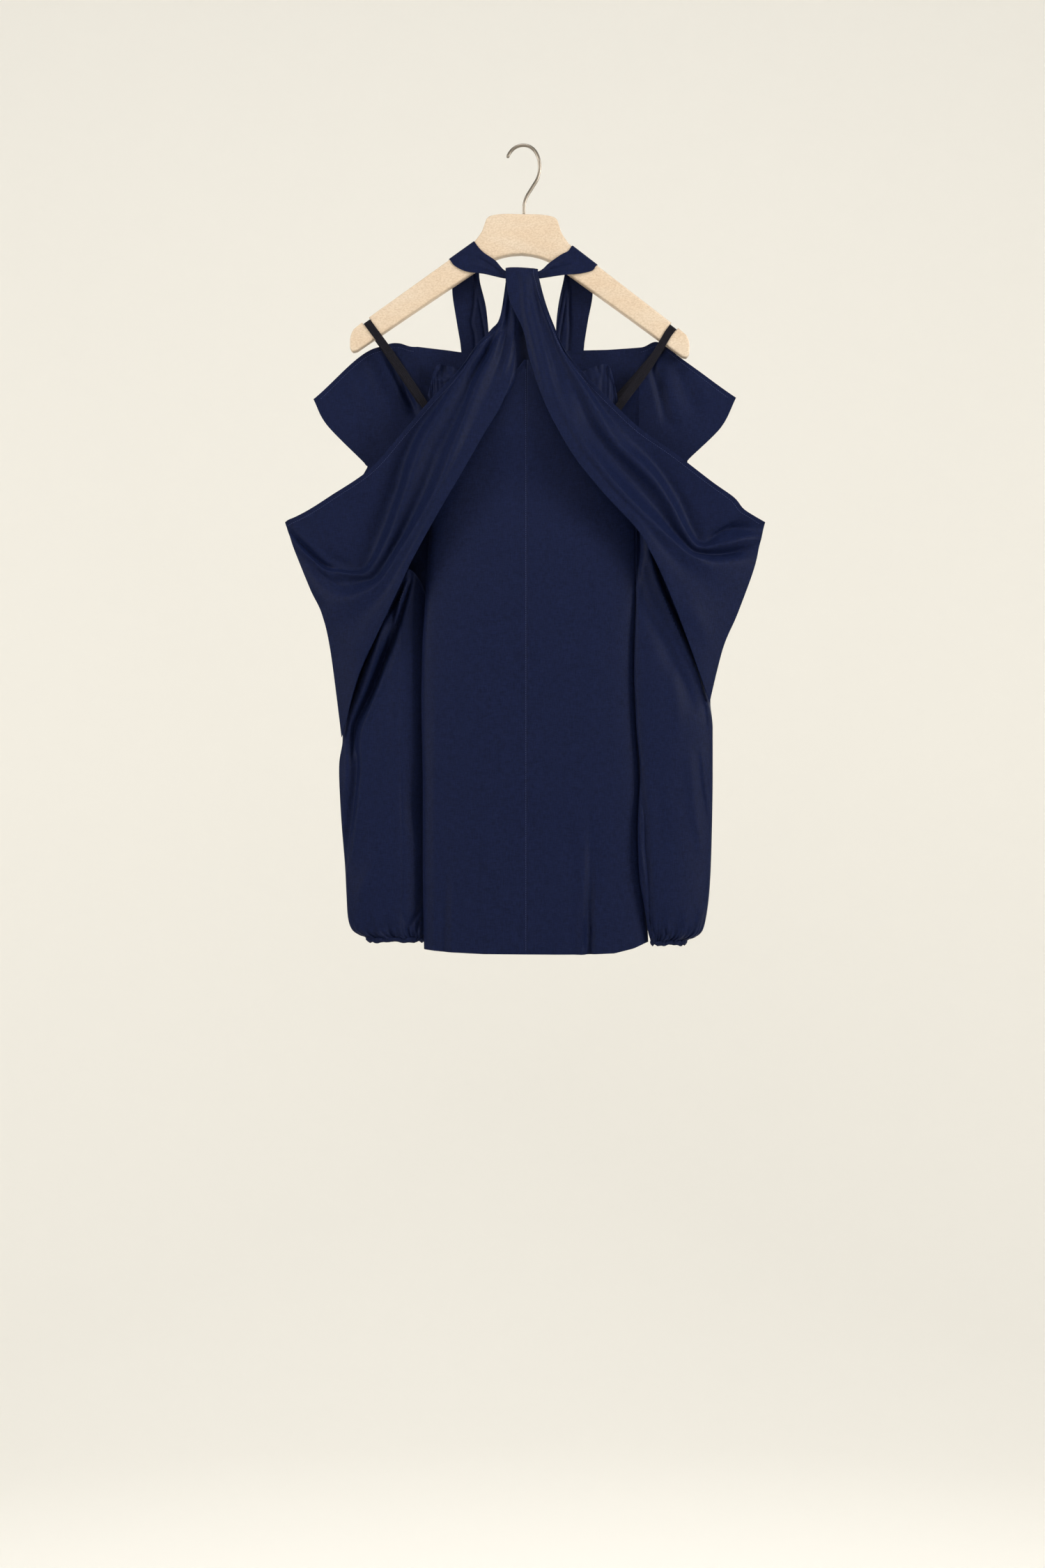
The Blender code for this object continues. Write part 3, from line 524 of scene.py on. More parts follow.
BACK_CREASES = [
    [(-60, -500, 18, 14, 0), (-63, -720, 18, 13, 3.6), (-66, -900, 15, 11, 5.4),
     (-67, -1030, 15, 11, 5.8)],
    [(-35, -600, 11, 13, 0), (-37, -800, 11, 12, -3.0), (-38, -1030, 10, 12, -4.6)],
    [(8, -720, 12, 10, 0), (10, -880, 12, 9, 2.4), (9, -1030, 12, 9, 3.2)],
    [(52, -540, 15, 14, 0), (55, -760, 13, 12, 3.6), (58, -1030, 13, 12, 5.4)],
    [(88, -640, 11, 11, 0), (90, -820, 11, 9, -3.0), (92, -1030, 11, 9, -4.6)],
    [(-118, -315, 8, 12, 0), (-96, -400, 9, 14, 2.4), (-58, -505, 11, 16, 0)],
    [(-104, -300, 9, 10, 0), (-80, -380, 9, 12, -2.0), (-45, -460, 10, 14, 0)],
    [(138, -315, 12, 8, 0), (112, -420, 14, 9, 2.4), (78, -525, 16, 11, 0)],
    [(10, -290, 15, 18, 0), (6, -420, 20, 16, -2.0), (14, -560, 16, 20, 0)],
]


def make_back(columns=90, rows=140):
    """The panel, which above the underarm reaches past the fronts' edges by their thickness."""
    heights = np.linspace(BACK_TOP, HEM_Z, rows)
    steps = np.linspace(0, 1, columns)[:, None]
    reach = WALL * (heights > UNDERARM)
    left, right = read_table(heights, BODY, 1) - reach, read_table(heights, BODY, 2) + reach
    across = left + (right - left) * steps
    level = np.broadcast_to(heights, across.shape)
    rise = np.interp(across, *zip(*BACK_HEM_RISE)) * eased(level, *HEM_OVER)
    rise += np.interp(across, *zip(*BACK_NECK_RISE)) * eased(level, *NECK_OVER)
    depth = body_depth(across, level, 1) + SEAM_GAP + WALL
    grid = creased(np.stack([across, depth, level + rise], 2), BACK_CREASES)
    made = cloth_shell("back_body", grid)


# ---------------------------------------------------------------- the front of the body
# Two half fronts of the same crepe, sewn together in a flat centre seam with a row of stitches
# beside it. Their slanted tops run up under the drapes to a point below the twist.

SEAM_X = 4.5
FRONT_TOP = [  # height, left slanted edge, right slanted edge, depth there
    (-278, 1.5, 7.5, -19),
    (-312, -25, 24, -20),
    (-350, -55, 45, -20),
    (-417, -99, 89, -18),
    (-468, -122.5, 134, -8),
    (UNDERARM, -121, 148, -2),
]
TOP_OVER = (-350, -520)  # the heights over which the slanted tops' depth becomes the body's
HEM_RISE = [(-127, 6), (-100, 3), (-51, 0.5), (6, 0), (76, -0.5), (117, 1), (142, 7), (160, 15)]
SEAM_CROWDING = 1.25  # above 1, the columns stand closer near the centre seam
SEAM_DEEP = 0.5  # the groove along it
SEAM_WIDE = 0.9
EDGE_WIDE = 3  # the turned edge of the slanted tops
EDGE_HIGH = 1.0
SEAM_STITCH = 1.2  # the topstitching's distance from the centre seam
STITCH_LONG = 1.9
STITCH_GAP = 0.9
STITCH_LIFT = 0.12  # from the cloth's face to the thread's middle
THREAD_RADIUS = 0.24
FRONT_CREASES = [
    [(78, -850, 9, 12, 0), (79, -930, 4, 8, -3.0), (78, -1000, 2.5, 7, -5.6),
     (77, -1041, 2.5, 7, -6.6)],
    [(84, -850, 5, 12, 0), (86, -930, 5, 12, 3.0), (86, -1000, 4, 12, 5.6),
     (85, -1041, 4, 13, 6.6)],
    [(62, -860, 12, 10, 0), (62, -950, 12, 10, 1.2), (62, -1041, 12, 10, 1.5)],
    [(-99, -920, 6, 6, 0), (-100, -975, 6, 6, 2.6), (-101, -1041, 6, 6, 3.8)],
    [(-91, -940, 5, 8, 0), (-92, -990, 5, 8, -1.8), (-92, -1041, 5, 8, -2.4)],
    [(-113, -640, 7, 6, 0), (-114, -800, 7, 6, -1.3), (-115, -1041, 7, 6, -1.8)],
]


def front_depth(across, up):
    above = read_table(up, FRONT_TOP, 3)
    below = body_depth(across, up, -1)
    return above + (below - above) * eased(up, *TOP_OVER)


stitches = []  # the two ends of each one, which the last section makes of thread


def sew(path):
    """Stitches along a line of points on a cloth's middle, laid on its front face."""
    path = path - (0, SHELL / 2 + STITCH_LIFT, 0)
    reach = np.concatenate([[0], np.cumsum(np.linalg.norm(np.diff(path, axis=0), axis=1))])
    starts = np.arange(STITCH_GAP, reach[-1] - STITCH_LONG, STITCH_LONG + STITCH_GAP)
    ends = [np.stack([np.interp(starts + shift, reach, path[:, k]) for k in range(3)], 1)
            for shift in (0, STITCH_LONG)]
    stitches.extend(zip(*ends))


def hem_line(grid, inside):
    """The line on a cloth that runs a distance inside its first edge."""
    steps = np.linalg.norm(np.diff(grid, axis=0), axis=2)
    reach = np.concatenate([np.zeros((1, grid.shape[1])), np.cumsum(steps, axis=0)])
    return np.array([[np.interp(inside, reach[:, j], grid[:, j, k]) for k in range(3)]
                     for j in range(grid.shape[1])])


def make_front(name, column, side, columns=56, rows=200):
    """A half front from the centre seam to its outer edge, a column of the tables."""
    heights = np.linspace(FRONT_TOP[0][0], HEM_Z, rows)
    steps = np.linspace(0, 1, columns)[:, None]
    slanted, straight = (read_table(heights, table, column) for table in (FRONT_TOP, BODY))
    edge = np.where(heights > UNDERARM, slanted, straight)
    across = SEAM_X + (edge - SEAM_X) * steps**SEAM_CROWDING
    level = np.broadcast_to(heights, across.shape)
    rise = np.interp(across, *zip(*HEM_RISE)) * eased(level, *HEM_OVER)
    seam = SEAM_DEEP * np.exp(-(((across - SEAM_X) / SEAM_WIDE) ** 2))
    grid = np.stack([across, front_depth(across, level) + seam, level + rise], 2)
    point = (SEAM_X + side * EDGE_WIDE, FRONT_TOP[0][0] - 1)
    turned = [(*point, EDGE_WIDE, EDGE_WIDE, -0.8 * EDGE_HIGH)]
    turned += [(row[column], row[0], EDGE_WIDE, EDGE_WIDE, -EDGE_HIGH) for row in FRONT_TOP[1:-1]]
    grid = creased(grid, FRONT_CREASES + [turned])
    if side < 0:
        sew(hem_line(grid, SEAM_STITCH)[3:-1])
    made = cloth_shell(name, grid)


make_back()
make_front("front_left", 1, -1)
make_front("front_right", 2, 1)


# ---------------------------------------------------------------- the inner bodice
# The sides of the inner bodice, of the same crepe. They are gathered along their top edge, and
# the elastic straps are sewn to them.

INNER_LEFT = [  # outer edge, middle and inner edge, each (across, depth, up)
    ((-123.5, -3, -322), (-107, -4, -281), (-29, -16.5, -313)),
    ((-124, -4, -350), (-105, -8, -325), (-58, -17.2, -352)),
    ((-124, -4, -395), (-112, -9, -385), (-87, -16.4, -397)),
    ((-123.5, -3.5, -440), (-117, -8, -438), (-110, -12.4, -436)),
]
INNER_RIGHT = [
    ((121, -3, -320), (106, -4, -281), (28, -16.5, -313)),
    ((126, -4, -352), (104, -8, -327), (50, -17.6, -352)),
    ((132, -4, -395), (112, -9, -385), (78, -17.2, -397)),
    ((138, -3.5, -440), (127, -8, -438), (112, -12.4, -436)),
]
SOFT_WAVES = (0.8, 8)  # the gathers along the top: how deep, and how many half waves
FINE_WAVES = (0.5, 23)
WAVE_FADE = 0.2  # the share of the width over which they fade at either side
INNER_LEFT_CREASES = [
    [(-98, -276, 5, 5, 4), (-100, -283, 6, 6, 7), (-98, -290, 6, 6, 6), (-92, -296, 5, 5, 0)],
    [(-106, -281, 2.5, 3, -2), (-111, -290, 2.5, 3, -3), (-117, -304, 2.5, 3, -2.5),
     (-121, -322, 3, 3, -1)],
    [(-116, -301, 2.5, 2.5, 0), (-106, -302, 3, 3, -2.5), (-96, -301, 3, 3, -2.5),
     (-84, -296, 3, 3, 0)],
    [(-113, -312, 2, 2, 0), (-108, -322, 2, 2, 1.6), (-105, -338, 2, 2, 0)],
    [(-103, -308, 2, 2, 0), (-100, -320, 2, 2, 1.6), (-97, -336, 2, 2, 0)],
]
INNER_RIGHT_CREASES = [
    [(112, -280, 2, 2, -2), (112.5, -292, 2, 2, -3), (116, -303, 2, 2, -3), (120, -312, 2, 2, -1)],
    [(94, -280, 2, 2, 2), (97, -288, 2, 2, 2.4), (99, -300, 2, 2, 0)],
    [(84, -279, 2, 2, 2), (88, -286, 2, 2, 2.6), (92, -296, 2, 2, 0)],
    [(76, -279, 2, 2, 2), (80, -286, 2, 2, 2.4), (83, -294, 2, 2, 0)],
    [(119, -296, 4, 4, 0), (121, -304, 4, 4, 5), (124, -314, 4, 4, 0)],
]


def make_inner(name, table, creases, rows=56, columns=72):
    """A side of the bodice, in waves that flatten out downwards."""
    grid = smooth(smooth(np.array(table), rows).transpose(1, 0, 2), columns)
    share = np.linspace(0, 1, columns)[:, None]
    fade = np.linspace(1, 0, rows) ** 0.8
    ends = eased(share, 0, WAVE_FADE) * eased(share, 1, 1 - WAVE_FADE)
    (soft, few), (fine, many) = SOFT_WAVES, FINE_WAVES
    grid[..., 1] += soft * np.cos(share * np.pi * few) * fade * ends
    grid[..., 1] += fine * np.sin(share * np.pi * many + 1.0) * fade**2 * ends
    made = cloth_shell(name, creased(grid, creases))


make_inner("inner_bodice_left", INNER_LEFT, INNER_LEFT_CREASES)
make_inner("inner_bodice_right", INNER_RIGHT, INNER_RIGHT_CREASES)


# ---------------------------------------------------------------- the elastic straps
# Flat black woven elastic, 10 mm wide. It is sewn to the inner bodice, hangs in a notch of the
# hanger, and runs down behind.

ELASTIC_WIDE = 10
ELASTIC_THICK = 1.2
BRAID_THICK = 1.0  # the elastic without its ribs
RIB_HIGH = 0.12
RIB_COUNT = 5
ELASTIC_LEFT = (  # the front stretch up to the arm, and the back stretch down from it
    [(-120.5, -8.2, -344), (-131, -8.4, -328), (-165, -9, -277)],
    [(-182, 8.6, -254), (-171, 7.4, -270), (-152, 6.2, -298), (-132, 5, -328)],
)
ELASTIC_RIGHT = (
    [(117.5, -9, -346), (128, -9, -330), (160, -9.1, -287)],
    [(179, 8.7, -257), (167, 7.4, -272), (145, 6.2, -298), (120, 5, -326)],
)
OVER_EDGE = [  # back and up from the arm's back face and top edge, and lift's share in each
    (0, -9, 1, 0), (0, -3.2, 1, 0), (-0.9, -0.9, 0.7, 0.7), (-3.4, 0, 0, 1)]


def over_arm(side, across, lift, drop=0.0):
    """Points over an arm's top edge, from back to front, where a strap or band hangs over it.

    Lift is the path's distance from the wood, and drop is how far the edge is cut down there.
    """
    ends = tilted(ARM * (side, 1))
    along = (ends[1] - ends[0]) / np.linalg.norm(ends[1] - ends[0])
    up = np.array([-along[1], along[0]]) * side
    share = (across - abs(ends[0, 0])) / (abs(ends[1, 0]) - abs(ends[0, 0]))
    edge = ends[0] + (ends[1] - ends[0]) * share - up * drop
    path = [(HANGER_THICK / 2 + depth + lift * out, rise + lift * high)
            for depth, rise, out, high in OVER_EDGE] + [(0, lift)]
    path += [(-depth, rise) for depth, rise in path[-2::-1]]
    return [(edge[0] + up[0] * rise, depth, edge[1] + up[1] * rise) for depth, rise in path]


def woven_elastic():
    """Elastic braid: matt black with a violet cast, ribbed lengthwise by its rubber cords."""
    made, shader = new_material("woven_elastic")
    tree = made.node_tree
    place = node(tree, "ShaderNodeTexCoord").outputs["Object"]
    # The braid's yarns are 0.5 mm apart; here they are 1.4 mm apart, so that they show.
    marks = node(tree, "ShaderNodeTexNoise", links={"Vector": place}, Scale=per_metre(1.43)[0],
                 Detail=2.0)
    ramp = node(tree, "ShaderNodeValToRGB", links={"Fac": marks.outputs["Fac"]})
    stops = ((0.35, "08070D"), (0.7, "110F18"))
    for stop, (position, colour) in zip(ramp.color_ramp.elements, stops):
        stop.position = position
        stop.color = linear(colour)
    tree.links.new(ramp.outputs["Color"], shader.inputs["Base Color"])
    bump = node(tree, "ShaderNodeBump", links={"Height": marks.outputs["Fac"]}, Strength=0.4,
                Distance=0.0003)
    tree.links.new(bump.outputs[0], shader.inputs["Normal"])
    shader.inputs["Roughness"].default_value = 0.72
    shader.inputs["Specular IOR Level"].default_value = 0.12
    return made


ELASTIC = woven_elastic()


def make_elastic(name, side, front, back, rows=150, columns=21):
    """A strap along its front stretch, over the arm in its notch, and down its back stretch."""
    ends = tilted(ARM * (side, 1))
    along = (ends[1] - ends[0]) / np.linalg.norm(ends[1] - ends[0])
    middle = abs(ends[1, 0]) + abs(along[0]) * NOTCH_ALONG / 2
    crossing = over_arm(side, middle, ELASTIC_THICK / 2 + SEAM_GAP, NOTCH_DEEP)
    line = smooth(front + crossing[::-1] + back, rows)
    share = np.linspace(-1, 1, columns)[:, None, None]
    wide = np.array([along[0], 0, along[1]]) * ELASTIC_WIDE / 2
    grid = line[None] + wide * share
    step = np.gradient(grid, axis=1)
    facing = np.cross(np.broadcast_to(wide, grid.shape), step)
    facing /= np.linalg.norm(facing, axis=2, keepdims=True)
    grid += facing * RIB_HIGH * np.cos(share * np.pi * RIB_COUNT)
    made = cloth_shell(name, grid, ELASTIC, BRAID_THICK)


make_elastic("elastic_left", -1, *ELASTIC_LEFT)
make_elastic("elastic_right", 1, *ELASTIC_RIGHT)


# ---------------------------------------------------------------- the sleeves
# Full tubes of crepe, shirred at the wrist. Each hangs flat, with its front half set back under
# the drape that runs down its outside, and soft pleats fall from the drape to the cuff.

SLEEVE_STEPS = (70, 142)  # steps round its back half and its front half
SLEEVE_POWER = 2.3
SLEEVE_FOLD_WIDE = 7
RECESS = 0.35  # the share of its depth that the front keeps outside its fold, under the drape
GATHERS = 10
GATHER_DEEP = 1.7
GATHER_RISE = 48
SOFT_GATHERS = [(1, 1, 0, 0)]  # depth, waves for each gather, and how far and how often they stray
FINE_GATHERS = [(0.7, 3.1, 2, 3)]
SLEEVE_LEFT = [  # height, outer edge, inner edge, front fold, outer depth, inner depth, front, back
    (-545, -276, -121.5, -150, 1, 8, 10, 12),
    (-575, -265, -123, -159, 1, 8, 11, 13),
    (-620, -249, -125, -168, 1, 8, 12, 14),
    (-666, -241, -127, -179, 1, 8, 13, 15),
    (-719, -237, -128, -196, 1, 8, 14, 16),
    (-764, -233, -128, -213, 1, 8, 15, 17),
    (-800, -237.5, -127, -211, 0, 8, 15, 18),
    (-863, -235, -126.5, -217, 0, 8, 16, 18),
    (-926, -230, -126.5, -227, 0, 7, 17, 18),
    (-965, -228, -126, -240, 0, 7, 18, 18),
    (-995, -226, -126, -240, 0, 6, 17, 17),
    (-1010, -221, -126, -240, 0, 5, 15, 15),
    (-1017, -212, -126.5, -240, 0, 4, 12, 12),
    (-1019.5, -205, -127, -240, 0, 4, 9.8, 9.8),
    (-1022, -202, -127.5, -240, 0, 4, 9, 9),
]
SLEEVE_RIGHT = [
    (-492, 300, 145.5, 157, 2, -13, 8, 10),
    (-531, 296, 145.5, 167, 2, -14, 9, 10),
    (-587, 272, 145.5, 185, 1, -15, 10, 11),
    (-644, 250, 143.5, 211, 1, -16, 11, 12),
    (-684, 244, 143, 228, 1, -16, 12, 13),
    (-718, 241.5, 144.5, 238, 1, -16, 12, 13),
    (-752, 244.5, 146, 260, 0, -16, 12, 14),
    (-809, 244.5, 150.5, 260, 0, -16, 13, 14),
    (-878, 243.5, 147.5, 260, 0, -17, 14, 15),
    (-940, 241.5, 149.5, 260, 0, -17, 15, 15),
    (-981, 238, 156, 260, 0, -16, 15, 15),
    (-1010, 232, 160.5, 260, 0, -13, 14, 14),
    (-1020, 222, 163, 260, 0, -11, 12, 12),
    (-1023, 214, 164, 260, 0, -10, 9.8, 9.8),
    (-1025.5, 211, 164.5, 260, 0, -9, 9, 9),
]
BAND_LEFT = (-17, 6.5, 7)  # an inner fold: its distance from the front fold, height and width
BAND_RIGHT = (2, 2.5, 6)
DROOP = (-150, 24, 31)  # the top of the left sleeve: where it starts to sink, how fast and far
DROOP_OVER = (-660, -545)  # the heights over which it does
DROOP_TURN = 0.25  # how much of a turn it takes to start, in radians
SLEEVE_LEFT_CREASES = [
    [(-157, -570, 1.3, 1.3, 0.5), (-158, -700, 1.3, 1.3, 0.5), (-157.5, -815, 1.3, 1.3, 0.5),
     (-155.5, -934, 1.3, 1.3, 0.5), (-156.5, -1005, 1.3, 1.3, 0.5)],
    [(-126, -552, 7, 13, 8), (-126, -600, 7, 14, 7), (-127, -650, 7, 11, 4), (-127, -700, 7, 7, 1),
     (-127, -780, 7, 9, 1), (-129, -850, 8, 19, 5.5), (-127, -905, 7, 11, 2),
     (-127, -975, 7, 13, 4), (-131, -1008, 6, 9, 2)],
    [(-141, -560, 4, 4, 0), (-143, -640, 4, 4, -1.2), (-142, -740, 5, 5, -1),
     (-141, -800, 5, 5, 0)],
    [(-144, -552, 2, 2.5, 1.5), (-148, -568, 2.5, 3, 5), (-159, -605, 3, 4, 9),
     (-170, -636, 4, 5, 10), (-182, -666, 5.5, 6, 11), (-195, -699, 6, 6, 11),
     (-208, -725, 5, 5, 10), (-218, -749, 4, 4, 7), (-219, -771, 3.5, 3, 4),
     (-221, -800, 3, 3, 0)],
    [(-146, -548, 3, 3, 2), (-164, -582, 2.5, 4, 6), (-184, -619, 2.5, 4, 7),
     (-197, -650, 2.5, 4, 7), (-208, -673, 2.5, 4, 7), (-218, -704, 2.5, 4, 7),
     (-227, -734, 3, 3, 4), (-232, -760, 3, 3, 0)],
    [(-158, -622, 3, 3, 0), (-172, -662, 4, 4, -2.4), (-184, -695, 4, 4, -3),
     (-196, -722, 4, 4, -3), (-206, -745, 4, 4, -2.4), (-209, -772, 5, 4, -1.4),
     (-212, -830, 6, 4, -1.6), (-219, -885, 6, 4, -1.4), (-226, -930, 5, 4, 0)],
    [(-172, -640, 7, 7, 0), (-176, -720, 7, 8, -1.6), (-180, -800, 8, 8, -1.4),
     (-178, -880, 8, 8, 0)],
    [(-187, -905, 7, 8, 0), (-198, -935, 7, 8, -1.5), (-209, -965, 7, 7, -1.3),
     (-210, -990, 6, 6, 0)],
    [(-200, -985, 3, 4, 0), (-194, -1000, 2.5, 3, 1.6), (-188, -1014, 2, 3, 1.8),
     (-186, -1021, 2, 2, 0.6)],
    [(-205, -996, 3, 4, 0), (-207, -1006, 3, 3, -1.4), (-200, -1015, 3, 3, -0.6)],
    [(-156, -984, 2, 3, 0), (-153, -998, 2, 3, 1.4), (-149, -1013, 2, 2.5, 1.6),
     (-147, -1021, 2, 2, 0.5)],
    [(-131, -976, 3, 4, 0), (-135, -988, 3, 4, 2.6), (-143, -1001, 3, 4, 3),
     (-149, -1013, 3, 3, 1.2)],
    [(-129, -992, 2, 3, 0), (-135, -1005, 2, 3, 2.2), (-138, -1016, 2, 3, 1.5)],
    [(-172, -996, 3, 3, 0), (-171, -1010, 2.5, 2.5, 1.1), (-169, -1020, 2, 2, 0.8)],
]
SLEEVE_RIGHT_CREASES = [
    [(163, -515, 9, 3, 0), (171, -536, 9, 4, 7), (177, -556, 9, 4, 9), (188, -582, 10, 4, 11),
     (199, -606, 10, 4, 11), (210, -632, 8, 4, 11), (222, -662, 8, 4, 10), (231, -683, 6, 3.5, 8),
     (238, -706, 4, 3, 3)],
    [(150, -522, 5, 5, 0), (162, -534, 5, 5, -1.6), (173, -568, 6, 6, -3), (187, -598, 6, 6, -3.4),
     (200, -630, 6, 6, -3.4), (217, -662, 6, 5, -3), (234, -698, 5, 4, -2),
     (240, -726, 4, 4, -1), (243, -750, 4, 4, 0)],
    [(149, -545, 5, 6, 0), (155, -584, 5, 9, 3), (168, -617, 6, 11, 4), (183, -643, 6, 12, 4),
     (195, -671, 6, 12, 3.4), (210, -700, 6, 12, 2), (222, -735, 6, 12, 0)],
    [(146, -488, 7, 6, 9), (147, -520, 7, 6, 9), (148, -545, 4, 5, 5), (147, -572, 3, 4, 0)],
    [(152, -815, 3, 2, 0), (152, -838, 4, 2, 2.4), (156, -865, 4, 2, 3.4),
     (157, -903, 4, 2, 3.6), (160.5, -946, 4, 2, 3.2), (163, -989, 4, 2, 3.4),
     (166, -1012, 3, 2, 1)],
    [(150.5, -870, 1.5, 2, 0), (151, -900, 1.5, 2, -1.6), (154, -930, 1.5, 2, -1.8),
     (159, -958, 1.5, 2, 0)],
    [(235, -700, 3, 3, 0), (238, -724, 3, 3, -1.8), (240, -745, 3, 3, -1.5),
     (240, -765, 3, 3, 0)],
    [(229, -775, 3, 3, 0), (231, -797, 3, 3, -1.8), (234, -826, 3, 3, -2.4),
     (239, -856, 3, 3, -1.6), (241, -880, 3, 3, 0)],
    [(212, -770, 7, 8, 0), (216, -807, 7, 8, -1.3), (222, -860, 7, 8, -1.6),
     (227, -892, 7, 7, -1.4), (231, -930, 7, 6, 0)],
    [(190, -640, 8, 8, 0), (196, -700, 8, 9, -1.2), (200, -770, 9, 9, 0)],
    [(176, -760, 8, 8, 0), (174, -850, 9, 8, 1.4), (178, -930, 9, 8, 0)],
    [(232, -972, 3, 4, 0), (229, -990, 3, 4, -1.8), (218, -1006, 3, 4, -2.2),
     (210, -1020, 3, 3, -1)],
    [(236, -985, 3, 4, 0), (232, -1002, 3, 3, 1.6), (224, -1014, 3, 3, 1.2)],
    [(163, -990, 2, 3, 0), (167, -1007, 2, 3, 2.4), (172, -1021, 2, 2.5, 1.6)],
    [(176, -1000, 2, 3, 0), (179, -1012, 2, 2.5, -1.6), (181, -1021, 2, 2, -0.6)],
    [(178, -1000, 2, 2, 0), (184, -1014, 2, 2.5, 1.6), (191, -1023, 2, 2, 0.8)],
    [(200, -998, 3, 3, 0), (199, -1012, 2.5, 2.5, 1.2), (197, -1022, 2, 2, 0.6)],
]
SLEEVE_BACK_CREASES = [
    [(-196, -620, 8, 9, 0), (-190, -740, 9, 9, -2), (-186, -880, 9, 9, -2.4),
     (-190, -990, 8, 8, 0)],
    [(-160, -600, 8, 8, 0), (-156, -760, 8, 9, 2), (-160, -920, 9, 8, 2.4), (-158, -1010, 5, 5, 1)],
    [(-214, -900, 5, 6, 0), (-207, -960, 5, 6, 1.8), (-199, -1012, 4, 4, 1.2)],
    [(-172, -960, 3, 3, 0), (-170, -1000, 3, 3, -1.6), (-169, -1020, 2.5, 2.5, -0.8)],
    [(206, -600, 9, 9, 0), (204, -760, 9, 9, -2.2), (206, -900, 9, 9, -1.8), (204, -990, 8, 8, 0)],
    [(176, -590, 8, 9, 0), (172, -740, 8, 9, 2.2), (176, -900, 9, 8, 2), (182, -1010, 5, 5, 1)],
    [(232, -880, 5, 5, 0), (224, -950, 5, 6, 1.8), (212, -1014, 4, 4, 1.2)],
    [(196, -965, 3, 3, 0), (194, -1000, 3, 3, -1.6), (193, -1022, 2.5, 2.5, -0.8)],
]


def ring_turns(behind, ahead):
    """The turns of a closed ring, with the steps round its back half and its front half."""
    return np.concatenate([np.linspace(0, np.pi, behind, endpoint=False),
                           np.linspace(np.pi, 2 * np.pi, ahead, endpoint=False)])


def ripples(turn, count, waves):
    """Gathers round a ring, as the sum of the waves, whose columns SOFT_GATHERS gives."""
    return sum(deep * np.cos(many * count * turn + far * np.sin(often * turn))
               for deep, many, far, often in waves)


def sleeve_ring(row, band, turn, gathers):
    """One closed ring of a sleeve, from its outer edge round its back, as (across, depth)."""
    height, outer, inner, fold, outer_depth, inner_depth, front, back = row
    place = -np.cos(turn)
    across = (outer + inner) / 2 + (inner - outer) / 2 * place
    middle = outer_depth + (inner_depth - outer_depth) * (1 + place) / 2
    rounding = np.abs(np.sin(turn)) ** (2 / SLEEVE_POWER)
    toward_inner = 1 if inner > outer else -1
    past_fold = (across - fold) * toward_inner
    open_front = eased(past_fold, -SLEEVE_FOLD_WIDE / 2, SLEEVE_FOLD_WIDE / 2)
    from_fold, band_high, band_wide = band
    front_now = front * (RECESS + (1 - RECESS) * open_front)
    front_now += band_high * np.exp(-(((across - fold - from_fold) / band_wide) ** 2))
    depth = np.where(np.sin(turn) > 0, middle + back * rounding, middle - front_now * rounding)
    wrist = SLEEVE_LEFT[-1][0]
    near_wrist = eased(height, wrist + GATHER_RISE, wrist)
    ripple = near_wrist * ripples(turn, GATHERS, SOFT_GATHERS)
    ripple += near_wrist**3 * ripples(turn, GATHERS, FINE_GATHERS)
    depth += np.sign(np.sin(turn)) * gathers * ripple * rounding
    return across, depth


def make_sleeve(name, table, band, creases, rows=176):
    """A tube of rings from the drape down to the wrist, with its folds pressed in."""
    turn = ring_turns(*SLEEVE_STEPS)
    grid = np.zeros((len(turn), rows, 3))
    at_front = (turn > np.pi)[:, None]
    for j, row in enumerate(smooth(table, rows)):
        across, depth = sleeve_ring(row, band, turn, GATHER_DEEP)
        grid[:, j] = np.stack([across, depth, np.full(len(turn), row[0])], 1)
    grid = creased(creased(grid, creases, at_front), SLEEVE_BACK_CREASES, ~at_front)
    if table is SLEEVE_LEFT:
        start, reach, most = DROOP
        sunk = np.maximum(0, (grid[..., 0] - start) / reach) ** 2
        sunk *= eased(turn[:, None], np.pi, np.pi + DROOP_TURN)
        grid[..., 2] -= most * sunk * eased(grid[..., 2], *DROOP_OVER)
    made = cloth_shell(name, grid, ring=True)


make_sleeve("sleeve_left", SLEEVE_LEFT, BAND_LEFT, SLEEVE_LEFT_CREASES)
make_sleeve("sleeve_right", SLEEVE_RIGHT, BAND_RIGHT, SLEEVE_RIGHT_CREASES)


# ---------------------------------------------------------------- the cuffs
# Narrow casings of crepe, turned up at the wrists over thin elastic, which shirrs them all round
# into small even gathers.

CUFF_STEPS = (90, 120)
CUFF_TALL = 5.8
CUFF_LAP = 1.5  # how far it reaches up over the sleeve's end
CUFF_GATHERS = 12
CUFF_RIPPLES = [(0.7, 1, 0.6, 4), (0.35, 3, 1.5, 5)]  # columns as in SOFT_GATHERS
CUFF_SWELL = 1.9  # how far the casing stands out between its two edges
CUFF_PULL = 0.6  # how far the elastic pulls both edges in
CUFF_NARROWING = 2.2  # and its lower edge besides
CUFF_HALF = 36  # half the width of a cuff whose sides would stand out by the whole swell


